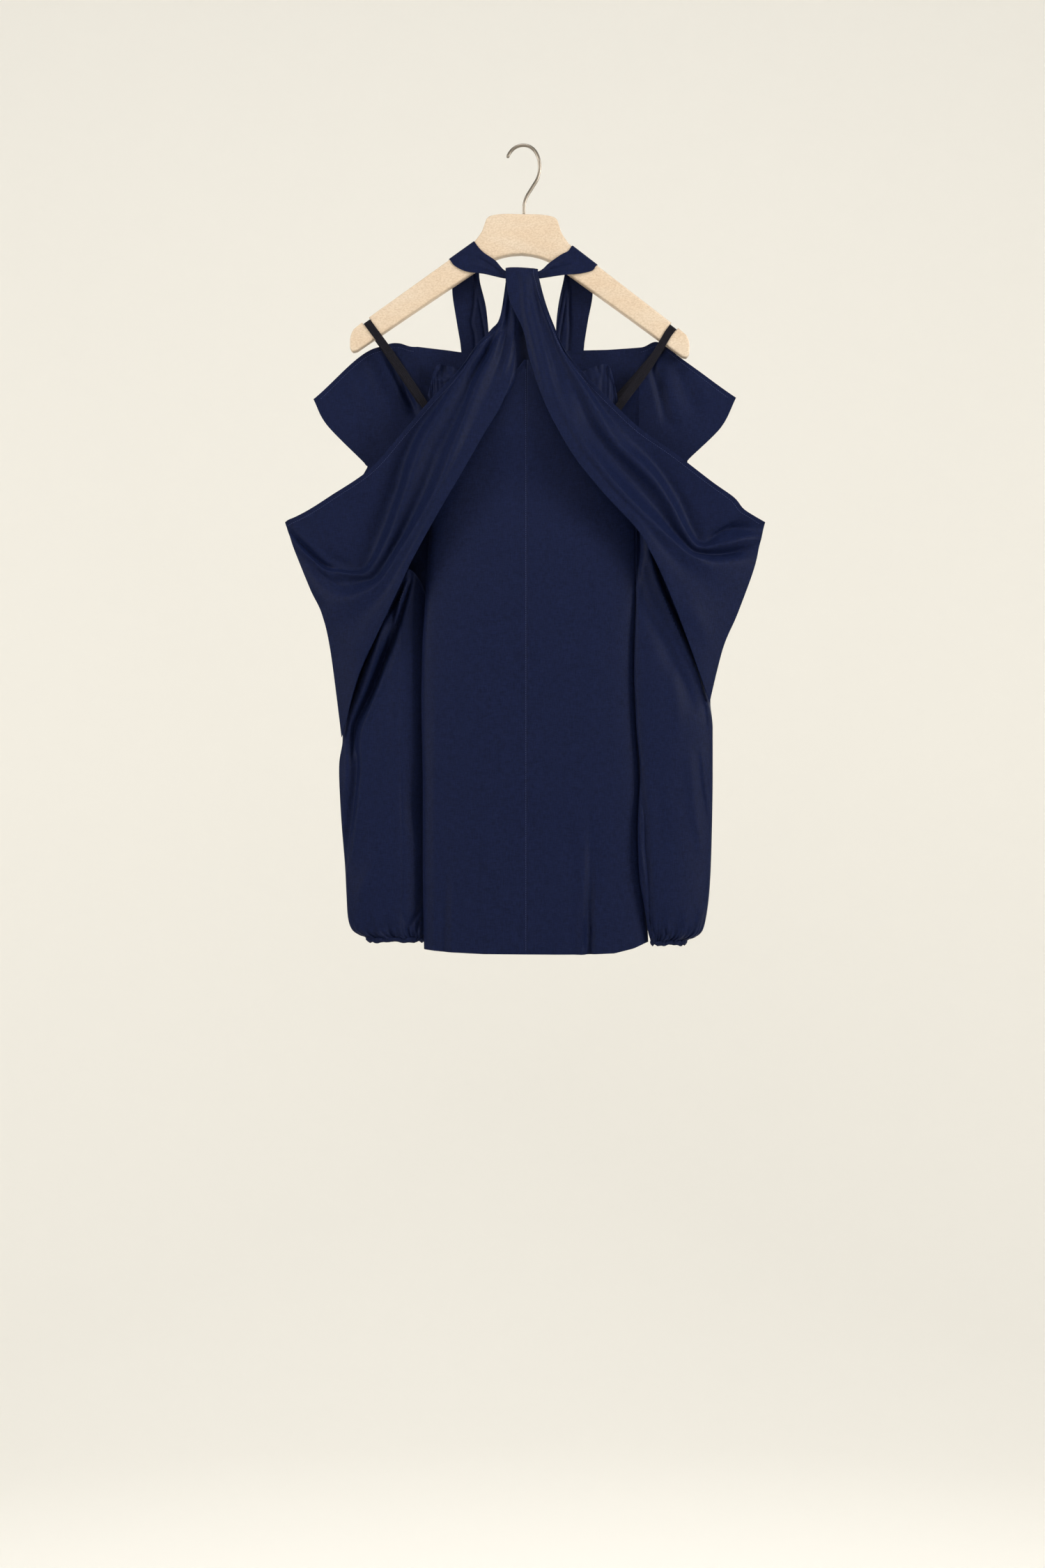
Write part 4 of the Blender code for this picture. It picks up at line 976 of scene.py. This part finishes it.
def make_cuff(name, table, band, rows=12):
    """A short tube of rings below the sleeve's last one, with a scalloped lower edge."""
    last = table[-1]
    centre = (last[1] + last[2]) / 2
    turn = ring_turns(*CUFF_STEPS)
    wide, deep = sleeve_ring(last, band, turn, 0)
    # Small scallops at the gathers, and a slow unevenness of the whole edge.
    scallop = 0.6 * np.cos(CUFF_GATHERS * turn) + 0.9 * np.cos(5 * turn + 1) - 0.4
    grid = np.zeros((len(turn), rows, 3))
    for j, share in enumerate(np.linspace(0, 1, rows)):
        swell = CUFF_SWELL * np.sin(np.pi * min(1, share * 1.1)) ** 0.7 - CUFF_PULL
        stretch = 1 + (swell - CUFF_NARROWING * share**3) / CUFF_HALF
        out = np.sin(turn) * (swell + ripples(turn, CUFF_GATHERS, CUFF_RIPPLES))
        level = last[0] + CUFF_LAP + (scallop - CUFF_TALL) * share
        grid[:, j] = np.stack([centre + (wide - centre) * stretch, deep + out, level], 1)
    made = cloth_shell(name, grid, ring=True)


make_cuff("cuff_left", SLEEVE_LEFT, BAND_LEFT)
make_cuff("cuff_right", SLEEVE_RIGHT, BAND_RIGHT)


# ---------------------------------------------------------------- the backs of the sleeves
# The upper back of each sleeve stands out past the shoulder. Its off-shoulder edge has a narrow
# stitched hem, and a soft pleat falls from the strap.

FLAP_LEFT = [  # outer edge, middle and inner edge, each (across, up)
    ((-272, -324), (-190, -258.5), (-137, -256)),
    ((-254, -358), (-182, -310), (-133, -325)),
    ((-205, -408), (-167, -397), (-128.5, -397)),
    ((-202.5, -413), (-166, -402), (-128.5, -402)),
    ((-232, -465), (-180, -468), (-125, -468)),
    ((-276, -547.5), (-205, -547.5), (-124, -547.5)),
]
FLAP_RIGHT = [
    ((276, -322), (176, -257), (151.5, -257)),
    ((256, -361), (184, -310), (150.5, -325)),
    ((213, -404), (178.5, -392), (148.5, -397)),
    ((212, -409), (178, -398), (148.5, -402)),
    ((245, -445), (195, -445), (148, -445)),
    ((299, -494.5), (222, -494.5), (148, -494.5)),
]
FLAP_DEPTH = 10.5
FLAP_RISE = {-1: (-167, 19, 6.0), 1: (169, 22, 7.5)}  # the top edge's swell: place, width, rise
FLAP_RISE_OVER = (-330, -258)  # the heights over which it comes in
FLAP_SEWN = 22  # how far from the body's seam it has come in fully
TUBE_ABOVE = (110, 2)  # heights above the sleeve's top over which the flap takes the tube's form
TUCK_ABOVE = (4, -1)  # and those over which it passes behind the sleeve
HEM_WIDE = 6
FLAP_LEFT_CREASES = [
    [(-172, -256, 6, 8, 0), (-168, -272, 6, 8, 3), (-159, -294, 5, 8, 6), (-151, -316, 5, 8, 9),
     (-145, -328, 5, 8, 8), (-138, -352, 5, 8, 0)],
    [(-205, -262, 10, 8, 0), (-193, -292, 10, 8, -2.5), (-176, -335, 10, 8, -1.5),
     (-165, -370, 10, 8, 0)],
    [(-238, -300, 12, 12, 0), (-222, -330, 12, 12, 2), (-196, -372, 12, 12, 1.5),
     (-170, -400, 10, 10, 0)],
    [(-215, -290, 8, 8, 0), (-208, -318, 8, 8, -1.2), (-190, -350, 8, 8, 0)],
]
FLAP_RIGHT_CREASES = [
    [(163, -256, 5, 4, 0), (168, -285, 5, 5, 3), (176, -312, 6, 6, 4.5), (182, -340, 6, 6, 3),
     (186, -362, 6, 6, 0)],
    [(176, -262, 9, 9, 0), (183, -290, 9, 9, -1.7), (196, -330, 9, 9, -1.9),
     (205, -365, 8, 8, 0)],
    [(198, -270, 8, 8, 0), (208, -300, 8, 9, 2.2), (222, -335, 8, 9, 2), (232, -356, 8, 8, 0)],
    [(225, -285, 8, 8, 0), (232, -310, 8, 8, -1.5), (240, -335, 8, 8, 0)],
    [(180, -330, 6, 6, 0), (190, -352, 6, 6, 1.4), (204, -372, 6, 6, 0)],
]


def make_flap(name, side, table, creases, sleeve, columns=80, rows=110):
    """A flat panel above that takes the form of the sleeve's back at its lower edge."""
    grid = smooth(smooth(table, rows).transpose(1, 0, 2), columns)
    across, up = grid[..., 0], grid[..., 1]
    seam = read_table(up[-1], BODY, 1 if side < 0 else 2) + side * SEAM_GAP
    across = across + (seam - across[-1]) * np.linspace(0, 1, columns)[:, None]
    middle, wide, rise = FLAP_RISE[side]
    swell = np.exp(-(((across - middle) / wide) ** 2)) * eased(up, *FLAP_RISE_OVER)
    up = up + rise * swell * eased(side * (across - across[-1]), 0, FLAP_SEWN)
    height, outer, inner, _, outer_depth, inner_depth, _, back = sleeve[0]
    place = np.clip((2 * across - outer - inner) / (inner - outer), -1, 1)
    tube = outer_depth + (inner_depth - outer_depth) * (1 + place) / 2
    tube = tube + back * bulge(place, SLEEVE_POWER)
    panel = creased(np.stack([across, np.full_like(up, FLAP_DEPTH), up], 2), creases)[..., 1]
    depth = panel + (tube - panel) * eased(up - height, *TUBE_ABOVE)
    depth += SHELL * eased(up - height, *TUCK_ABOVE)
    grid = np.stack([across, depth, up], 2)
    sew(hem_line(grid.transpose(1, 0, 2), HEM_WIDE)[3:-3])
    made = cloth_shell(name, grid)


make_flap("back_sleeve_left", -1, FLAP_LEFT, FLAP_LEFT_CREASES, SLEEVE_LEFT)
make_flap("back_sleeve_right", 1, FLAP_RIGHT, FLAP_RIGHT_CREASES, SLEEVE_RIGHT)


# ---------------------------------------------------------------- the halter bands
# A doubled band of crepe from the back neck over each arm of the hanger to the twist, where it
# is pulled into lengthwise pleats.

HALTER_ARM = (95, 63)  # where the outer and inner edges cross the arm's top edge
HALTER_BACK_LEFT = [  # outer edge and inner edge, each (across, depth, up), up from the back neck
    ((-80, 13.2, -259.2), (-43, 13.2, -259.2)),
    ((-86.5, 11.8, -222), (-48, 11.8, -206)),
    ((-92, 10.5, -184), (-57, 10.5, -164)),
]
HALTER_FRONT_LEFT = [  # the same, down from the arm to the twist
    ((-74, -9.6, -162.5), (-50, -9.6, -139)),
    ((-50, -11.8, -166.5), (-36, -11.8, -149)),
    ((-22, -14, -173), (-21, -14, -163.5)),
    ((-0.3, -14.4, -174.5), (-0.3, -14.4, -165.5)),
]
HALTER_BACK_RIGHT = [
    ((78, 13.2, -259.2), (41, 13.2, -259.2)),
    ((84, 11.8, -222), (45, 11.8, -206)),
    ((90, 10.5, -188), (53, 10.5, -166)),
]
HALTER_FRONT_RIGHT = [
    ((73, -9.6, -165.5), (49, -9.6, -141)),
    ((50, -11.8, -168), (35, -11.8, -151)),
    ((20, -14, -173), (19, -14, -163.5)),
    ((0.3, -14.4, -174.5), (0.3, -14.4, -165.5)),
]
FREE_OF_WOOD = 1.5  # how far off the hanger a band's creases have their full depth
TUCK_OVER = (-248, -258)  # the heights over which a band runs on behind the back's top edge
TUCK_DOWN = 5
HALTER_CREASES = [  # on the bands' front stretches
    [(-70, -142, 2, 2, 0), (-57, -146, 2, 3, 1.6), (-43, -154, 2, 2.5, 1.8),
     (-30, -163, 1.5, 2, 1.4), (-22, -168, 1, 1.5, 0.8)],
    [(-74, -153, 2.5, 2.5, 0), (-60, -155, 2.5, 2.5, -1.2), (-45, -161, 2, 2, -1.2),
     (-30, -167, 1.5, 1.5, -0.6)],
    [(74, -149, 2.5, 2, 0), (55, -155, 2.5, 2, 1.7), (37, -160, 2, 2, 1.6),
     (20, -168, 1.5, 1, 0.8)],
    [(60, -140, 2, 2, 0), (46, -149, 2, 2, 1.2), (30, -157, 2, 1.5, 1.2), (20, -164, 1.5, 1, 0.5)],
    [(66, -158, 2.5, 2.5, 0), (50, -161, 2.5, 2.5, -1.2), (34, -165, 2, 2, -0.8)],
]
STRAP_CREASES = [  # on the stretches that fall behind, from the hanger to the back neck
    [(-66, -152, 2, 2, 2), (-63, -175, 2, 2.5, 2.2), (-64, -203, 2, 2.5, 2.2),
     (-67, -224, 2, 2.5, 2.4), (-63, -240, 2, 2.5, 2.4), (-62, -262, 2, 2.5, 2)],
    [(-61, -178, 1.5, 2, 0), (-54.5, -213, 1.5, 2, 1.8), (-50, -240, 1.5, 2, 2),
     (-49, -262, 1.5, 2, 1.6)],
    [(60, -152, 2.5, 2, 2), (60, -180, 2.5, 2, 2.4), (59.5, -206, 2.5, 2, 2.6),
     (60, -233, 2.5, 2, 2.6), (58, -262, 2.5, 2, 2)],
    [(56, -185, 1.5, 1.5, 0), (54, -205, 1.5, 1.5, 1.8), (49, -236, 1.5, 1.5, 2),
     (46, -262, 1.5, 1.5, 1.4)],
    [(53, -178, 1.2, 1.2, 0), (50.5, -192, 1.5, 1.5, 1.5), (44, -228, 1.5, 1.5, 1.5),
     (42, -250, 1.5, 1.5, 0)],
]


def make_halter(name, side, back, front, rows=260, columns=40):
    """A band between its two edges, up from the back neck, over the arm and to the twist."""
    outer, inner = (over_arm(side, across, WALL / 2 + SEAM_GAP) for across in HALTER_ARM)
    edges = smooth(np.array(back + list(zip(outer, inner)) + front), rows)
    steps = np.linspace(0, 1, columns)[:, None, None]
    grid = edges[:, 0] + (edges[:, 1] - edges[:, 0]) * steps
    free = eased(np.abs(grid[..., 1]) - HANGER_THICK / 2 - WALL, 0, FREE_OF_WOOD)
    at_front, at_back = ((sign * grid[..., 1] > 0) * free for sign in (-1, 1))
    below = eased(grid[..., 2], *TUCK_OVER) * at_back
    grid = creased(creased(grid, HALTER_CREASES, at_front), STRAP_CREASES, at_back)
    grid[..., 2] -= TUCK_DOWN * below
    made = cloth_shell(name, grid)


make_halter("halter_left", -1, HALTER_BACK_LEFT, HALTER_FRONT_LEFT)
make_halter("halter_right", 1, HALTER_BACK_RIGHT, HALTER_FRONT_RIGHT)


# ---------------------------------------------------------------- the drapes
# Each front of the halter is a long doubled bias piece. It is pulled narrow at the twist, falls
# open over the bust, and its lower edge rolls under, down to the outside of the sleeve.

DRAPE_LEFT = [  # hem edge, fold lines and rolled edge, then hem depth, roll depth, fold height
    ((-21, -168), (-19, -168), (-16, -168), (-13, -168), (-9, -168), (-5, -168), (-2, -168),
     (1, -168), -16.4, -16.4, 0),
    ((-30, -223), (-28, -226), (-26, -228), (-23, -231), (-20, -233), (-15, -236), (-12, -237),
     (-8, -239), -17, -17, 1),
    ((-41, -239), (-39, -241), (-38, -244), (-34, -248), (-30, -250), (-21, -255), (-15, -257),
     (-10, -258), -18, -20, 2),
    ((-61, -261), (-59, -263), (-56, -266), (-47, -271), (-40, -275), (-24, -281), (-18, -284),
     (-13, -286), -19, -24, 3),
    ((-81, -290), (-79, -292), (-74, -296), (-66, -303), (-56, -311), (-42, -321), (-33, -327),
     (-26, -332), -22, -30, 4),
    ((-119, -330), (-110, -336), (-102, -342), (-86, -351), (-75, -359), (-64, -365), (-57, -371),
     (-51, -376), -24, -36, 5),
    ((-155, -372), (-142, -381), (-129, -389), (-112, -400), (-94, -409), (-88, -413), (-82, -417),
     (-76, -421), -24, -42, 7),
    ((-197, -419), (-162, -438), (-150, -446), (-132, -455), (-118, -462), (-114, -465),
     (-109, -468), (-105, -471), -22, -45, 8),
    ((-248, -453), (-188, -501), (-174, -511), (-163, -519), (-155, -524), (-149, -528),
     (-145, -531), (-140, -534), -18, -45, 9),
    ((-274, -469), (-212, -545), (-205, -554), (-197, -562), (-185, -569), (-177, -574),
     (-170, -577), (-162, -580), -14, -43, 8),
    ((-292, -478), (-252, -539), (-246, -551), (-239, -566), (-220, -586), (-206, -601),
     (-193, -613), (-182, -620), -10, -36, 7),
    ((-302, -482), (-281, -517), (-276, -530), (-269, -545), (-248, -591), (-235, -621),
     (-222, -653), (-211, -682), -8, -24, 5),
    ((-307, -485), (-305, -492), (-300, -506), (-293, -526), (-274, -572), (-259, -604),
     (-248, -652), (-234, -762), -5, -9, 3),
]
DRAPE_RIGHT = [
    ((19, -167), (13, -167), (8, -167), (3, -167), (-3, -167), (-9, -167), (-15, -167),
     (-21, -167), -21, -21, 0),
    ((26, -198), (24, -199), (22, -200), (20, -202), (12, -204), (3, -204), (-7, -203),
     (-17, -201), -24, -24, 1),
    ((38, -233), (37, -234), (35, -235), (31, -236), (22, -238), (15, -239), (7, -240),
     (0, -241), -27, -28, 2),
    ((54, -269), (53, -271), (50, -273), (44, -275), (31, -278), (23, -279), (16, -280),
     (9, -281), -29, -33, 3),
    ((86, -306), (79, -309), (72, -312), (61, -316), (43, -323), (36, -325), (30, -327),
     (25, -329), -29, -38, 4),
    ((118, -338), (106, -344), (93, -350), (80, -355), (59, -359), (52, -361), (46, -363),
     (41, -364), -28, -42, 5),
    ((152, -369), (137, -379), (118, -389), (104, -395), (84, -400), (78, -403), (73, -406),
     (67, -408), -26, -45, 6),
    ((194, -398), (171, -413), (156, -423), (138, -435), (121, -445), (115, -449), (109, -452),
     (104, -454), -23, -47, 8),
    ((242, -434), (201, -457), (187, -465), (173, -475), (160, -484), (155, -489), (149, -493),
     (144, -497), -18, -47, 9),
    ((271, -454), (220, -496), (209, -502), (199, -507), (188, -511), (179, -517), (170, -522),
     (162, -526), -14, -45, 9),
    ((283, -468), (234, -510), (228, -519), (224, -527), (218, -534), (207, -546), (195, -558),
     (183, -568), -12.5, -40, 8),
    ((297, -477), (265, -494), (262, -513), (260, -526), (254, -540), (241, -572), (226, -604),
     (210, -634), -9.5, -29, 7),
    ((312, -485), (310, -493), (307, -505), (304, -517), (298, -542), (276, -603), (257, -648),
     (240, -717), -5.5, -13, 3),
]
# How far each column stands back (+) or forward (-), as a share of the section's fold height.
DRAPE_RELIEF = (0.0, 0.7, -0.55, 0.45, -0.75, -0.2, -0.1, 0.25)
TUCK_IN = (-1.5, 0.72)  # how far in the edge behind the roll lies: a length, and a share of height
TUCK_BACK = (0.5, 0.95)  # and how far behind
LOOP = [(11, -8), (11, 0), (9.35, 5), (5.5, 7.5), (1.65, 5)]  # back and up, over the twist's top
LOOP_SLANT = 0.05  # the top is worn unevenly: it slants down to the right
LOOP_HALF = 20  # and its ends fall off steeply at this distance from the middle
HEM_FROM = 0.2  # the share of the drape's length where its hem comes out of the twist
FOLD_SPREAD = 1.22  # how much wider the folds are than their lines' widths
LEFT_CREASES = [
    [(-30, -222, 4, 4, 0), (-42, -243, 5, 5, -1.6), (-61, -271, 6, 6, -2.6),
     (-84, -300, 7, 7, -2.9), (-102, -338, 7, 7, -2.9), (-127, -378, 8, 7, -3.1),
     (-141, -423, 8, 8, -2.9), (-160, -473, 8, 9, -2.1), (-179, -533, 8, 8, 0)],
    [(-69, -283, 5, 5, 0), (-97, -322, 7, 8, 2.6), (-129, -363, 8, 10, 3.9),
     (-155, -412, 8, 12, 5.2), (-163, -446, 8, 14, 6), (-186, -507, 9, 14, 4.7),
     (-202, -557, 10, 10, 0)],
    [(-26, -216, 2.5, 3, 0), (-34, -238, 3, 4, 3.4), (-42, -256, 4, 4, 4.7),
     (-50, -274, 4, 4, 4.4), (-61, -293, 4, 5, 3.1), (-70, -315, 3, 4, 1.8),
     (-79, -357, 3, 4, 0)],
    [(-22, -205, 3, 3, 0), (-29, -232, 4, 4, -2.6), (-38, -265, 5, 5, -3.4),
     (-48, -290, 6, 5, -3.6), (-62, -322, 7, 6, -3.9), (-76, -358, 8, 6, -4.2),
     (-97, -414, 9, 7, -4.7), (-113, -455, 9, 7, -4.7), (-133, -492, 9, 7, -4.7),
     (-157, -529, 9, 7, -4.4), (-189, -567, 10, 8, -2.9), (-226, -594, 8, 8, 0)],
    [(-17, -190, 2, 2, 0), (-18, -212, 2, 3, 2.9), (-22, -240, 3, 3, 3.4),
     (-27, -270, 3, 4, 3.1), (-36, -300, 4, 5, 2.1), (-50, -335, 5, 6, 0)],
    [(-12, -212, 2, 2, 0), (-12, -236, 2.5, 2.5, -2.1), (-16, -262, 3, 3, -2.6),
     (-22, -286, 3, 4, -2.3), (-34, -318, 4, 5, 0)],
    [(-14, -172, 1.5, 2, 1.3), (-15, -190, 1.5, 2, 2.6), (-13, -206, 1.5, 2, 0)],
    [(-275, -509, 4, 5, 0), (-256, -526, 4, 6, 1.8), (-230, -540, 4, 6, 2.1),
     (-208, -550, 5, 6, 0)],
    [(-303, -497, 3, 4, 0), (-285, -514, 4, 5, 3.4), (-267, -532, 4, 6, 4.7),
     (-250, -545, 4, 6, 4.7), (-235, -555, 4, 6, 3.9), (-214, -558, 4, 6, 2.6),
     (-198, -553, 5, 6, 0)],
    [(-300, -488, 3, 4, 0), (-276, -514, 5, 5, -2.9), (-250, -538, 5, 5, -3.1),
     (-225, -548, 5, 5, -2.1), (-205, -548, 5, 5, 0)],
    [(-280, -532, 6, 5, 0), (-261, -551, 7, 6, 2.3), (-242, -564, 7, 6, 2.9),
     (-227, -575, 7, 6, 2.1), (-203, -572, 7, 6, 0)],
    [(-262, -590, 9, 9, 0), (-252, -615, 9, 9, -2.1), (-246, -660, 8, 8, 0)],
]
RIGHT_CREASES = [
    [(-4, -165, 4, 4, -1.3), (0.5, -177, 5, 4, -2.6), (3, -213, 5, 4, -3.4), (13, -257, 5, 4, -3.1),
     (20, -283, 5, 4, -2.6), (30, -322, 5, 5, -1.8), (40, -352, 5, 5, 0)],
    [(9, -163, 2.5, 2, 2.1), (13, -181, 3, 2.5, 2.6), (19.5, -213, 3.5, 3, 2.9),
     (24, -240, 4, 3, 2.9), (37, -278, 4, 4, 3.4), (48, -322, 5, 5, 3.1),
     (60, -360, 5, 6, 1.8), (74, -392, 5, 6, 0)],
    [(19, -170, 2, 2, -1), (23, -181, 2.5, 2.5, -2.1), (31, -220, 3, 3, -2.6),
     (44, -252, 4, 4, -2.6), (59, -283, 5, 4, -2.3), (74, -311, 5, 5, -2.3),
     (95, -343, 6, 5, -2.3), (117, -385, 8, 6, -2.6), (148, -417, 9, 7, -2.9),
     (178, -446, 9, 7, -2.9), (204, -494, 7, 7, -1.6), (220, -519, 7, 7, 0)],
    [(38, -308, 5, 6, 0), (51, -344, 6, 6, -2.3), (75, -390, 6, 7, -3.6), (88, -407, 7, 8, -4.2),
     (122, -449, 7, 9, -4.4), (156, -484, 7, 9, -4.4), (198, -517, 7, 9, -3.6),
     (227, -536, 7, 8, -2.1), (250, -541, 6, 7, 0)],
    [(62, -300, 4, 4, 0), (76, -335, 5, 5, 2.1), (88, -365, 6, 6, 3.4), (130, -412, 6, 8, 4.4),
     (156, -438, 6, 9, 4.9), (178, -462, 6, 9, 4.7), (198, -494, 6, 8, 3.4),
     (214, -517, 6, 7, 0)],
    [(72, -296, 3, 3, 0), (86, -318, 3.5, 3, 1.6), (104, -345, 4, 3.5, 1.6), (124, -368, 5, 4, 0)],
    [(141, -387, 5, 5, 0), (168, -411, 7, 6, 2.1), (199, -455, 8, 6, 3.1), (218, -497, 8, 6, 2.1),
     (226, -513, 7, 6, 0)],
    [(236, -509, 4, 4, 0), (252, -499, 4, 5, 2.6), (279, -492, 4, 5, 3.4), (300, -494, 4, 5, 0)],
    [(222, -524, 4, 4, 0), (242, -519, 4, 4, -2.3), (263, -514, 4, 4, -3.1),
     (284, -506, 4, 4, -2.6), (300, -503, 4, 4, 0)],
    [(224, -528, 4, 5, 0), (242, -531, 4, 6, 3.9), (260, -527, 4, 6, 4.4),
     (279, -522, 4, 6, 3.4), (296, -517, 4, 6, 0)],
    [(200, -585, 9, 9, 0), (222, -610, 9, 9, -1.8), (240, -650, 8, 8, 0)],
]
# The left drape's hidden edge runs on behind the right one, from the twist to the fronts' point.
BEHIND_TWIST = [(4, -11, -166), (10, -4, -222), (13, 0, -250), (7, -6, -282)]


def drape_sections(table, hidden=()):
    """Each section's points, with depth, ending in the edge that is tucked behind the roll."""
    sections = []
    for row in table:
        columns = np.array(row[:8], float)
        hem, roll, height = row[8:]
        share = np.linspace(0, 1, len(columns))
        depth = hem + (roll - hem) * share + np.array(DRAPE_RELIEF) * height
        points = np.stack([columns[:, 0], depth, columns[:, 1]], 1)
        inward = points[-2] - points[-1]
        inward[1] = 0
        inward /= max(np.linalg.norm(inward), 1e-6)
        tuck = points[-1] + inward * (TUCK_IN[0] + TUCK_IN[1] * height)
        tuck[1] += TUCK_BACK[0] + TUCK_BACK[1] * height
        sections.append(np.vstack([points, tuck]))
    for section, place in zip(sections, hidden):
        section[-1] = place
    return sections


def make_drape(name, table, looped, creases, hidden=(), along=260, across=130):
    """A drape through its sections. The looped one starts behind the twist and comes over it."""
    sections = drape_sections(table, hidden)
    if looped:
        top = sections[0].copy()
        top[:, 2] -= LOOP_SLANT * top[:, 0] + (top[:, 0] / LOOP_HALF) ** 4
        sections = [top + (0, back, rise) for back, rise in LOOP] + sections
    grid = smooth(smooth(np.array(sections), along).transpose(1, 0, 2), across)
    spread = (1, 1, FOLD_SPREAD, FOLD_SPREAD, 1)
    grid = creased(grid, [np.array(line) * spread for line in creases])
    sew(hem_line(grid, HEM_WIDE)[int(HEM_FROM * along):-3])
    made = cloth_shell(name, grid)


make_drape("drape_left", DRAPE_LEFT, False, LEFT_CREASES, BEHIND_TWIST)
make_drape("drape_right", DRAPE_RIGHT, True, RIGHT_CREASES)


# ---------------------------------------------------------------- the stitches
# Silk thread, a shade lighter than the cloth, topstitched beside the centre seam and along the
# hems of the drapes and of the backs of the sleeves.

STITCH_PROFILE = [(0, 0.45), (0.25, 1), (0.75, 1), (1, 0.45)]  # shares of its length and radius


def silk_thread():
    """Twisted silk thread: a soft, pale navy glint."""
    made, shader = new_material("silk_thread")
    shader.inputs["Base Color"].default_value = linear("272F56")
    shader.inputs["Roughness"].default_value = 0.5
    shader.inputs["Specular IOR Level"].default_value = 0.3
    return made


def make_stitches(sides=5):
    """A short rod, thinner at both ends, for each stitch that the pieces above were sewn with."""
    points, faces = [], []
    turns = np.linspace(0, 2 * np.pi, sides, endpoint=False)
    for start, end in stitches:
        ahead = (end - start) / np.linalg.norm(end - start)
        out = np.cross(ahead, (0, 1, 0))
        out /= np.linalg.norm(out)
        rise = np.cross(out, ahead)
        first = len(points)
        for share, size in STITCH_PROFILE:
            for turn in turns:
                ring = out * np.cos(turn) + rise * np.sin(turn)
                points.append(start + (end - start) * share + ring * THREAD_RADIUS * size)
        last = len(points) - sides
        for base in range(first, last, sides):
            for i in range(sides):
                a, b = base + i, base + (i + 1) % sides
                faces.append((a, b, b + sides, a + sides))
        faces += [tuple(range(first, first + sides)), tuple(range(last, last + sides))]
    add_piece("topstitching", points, faces, silk_thread(), None)


make_stitches()
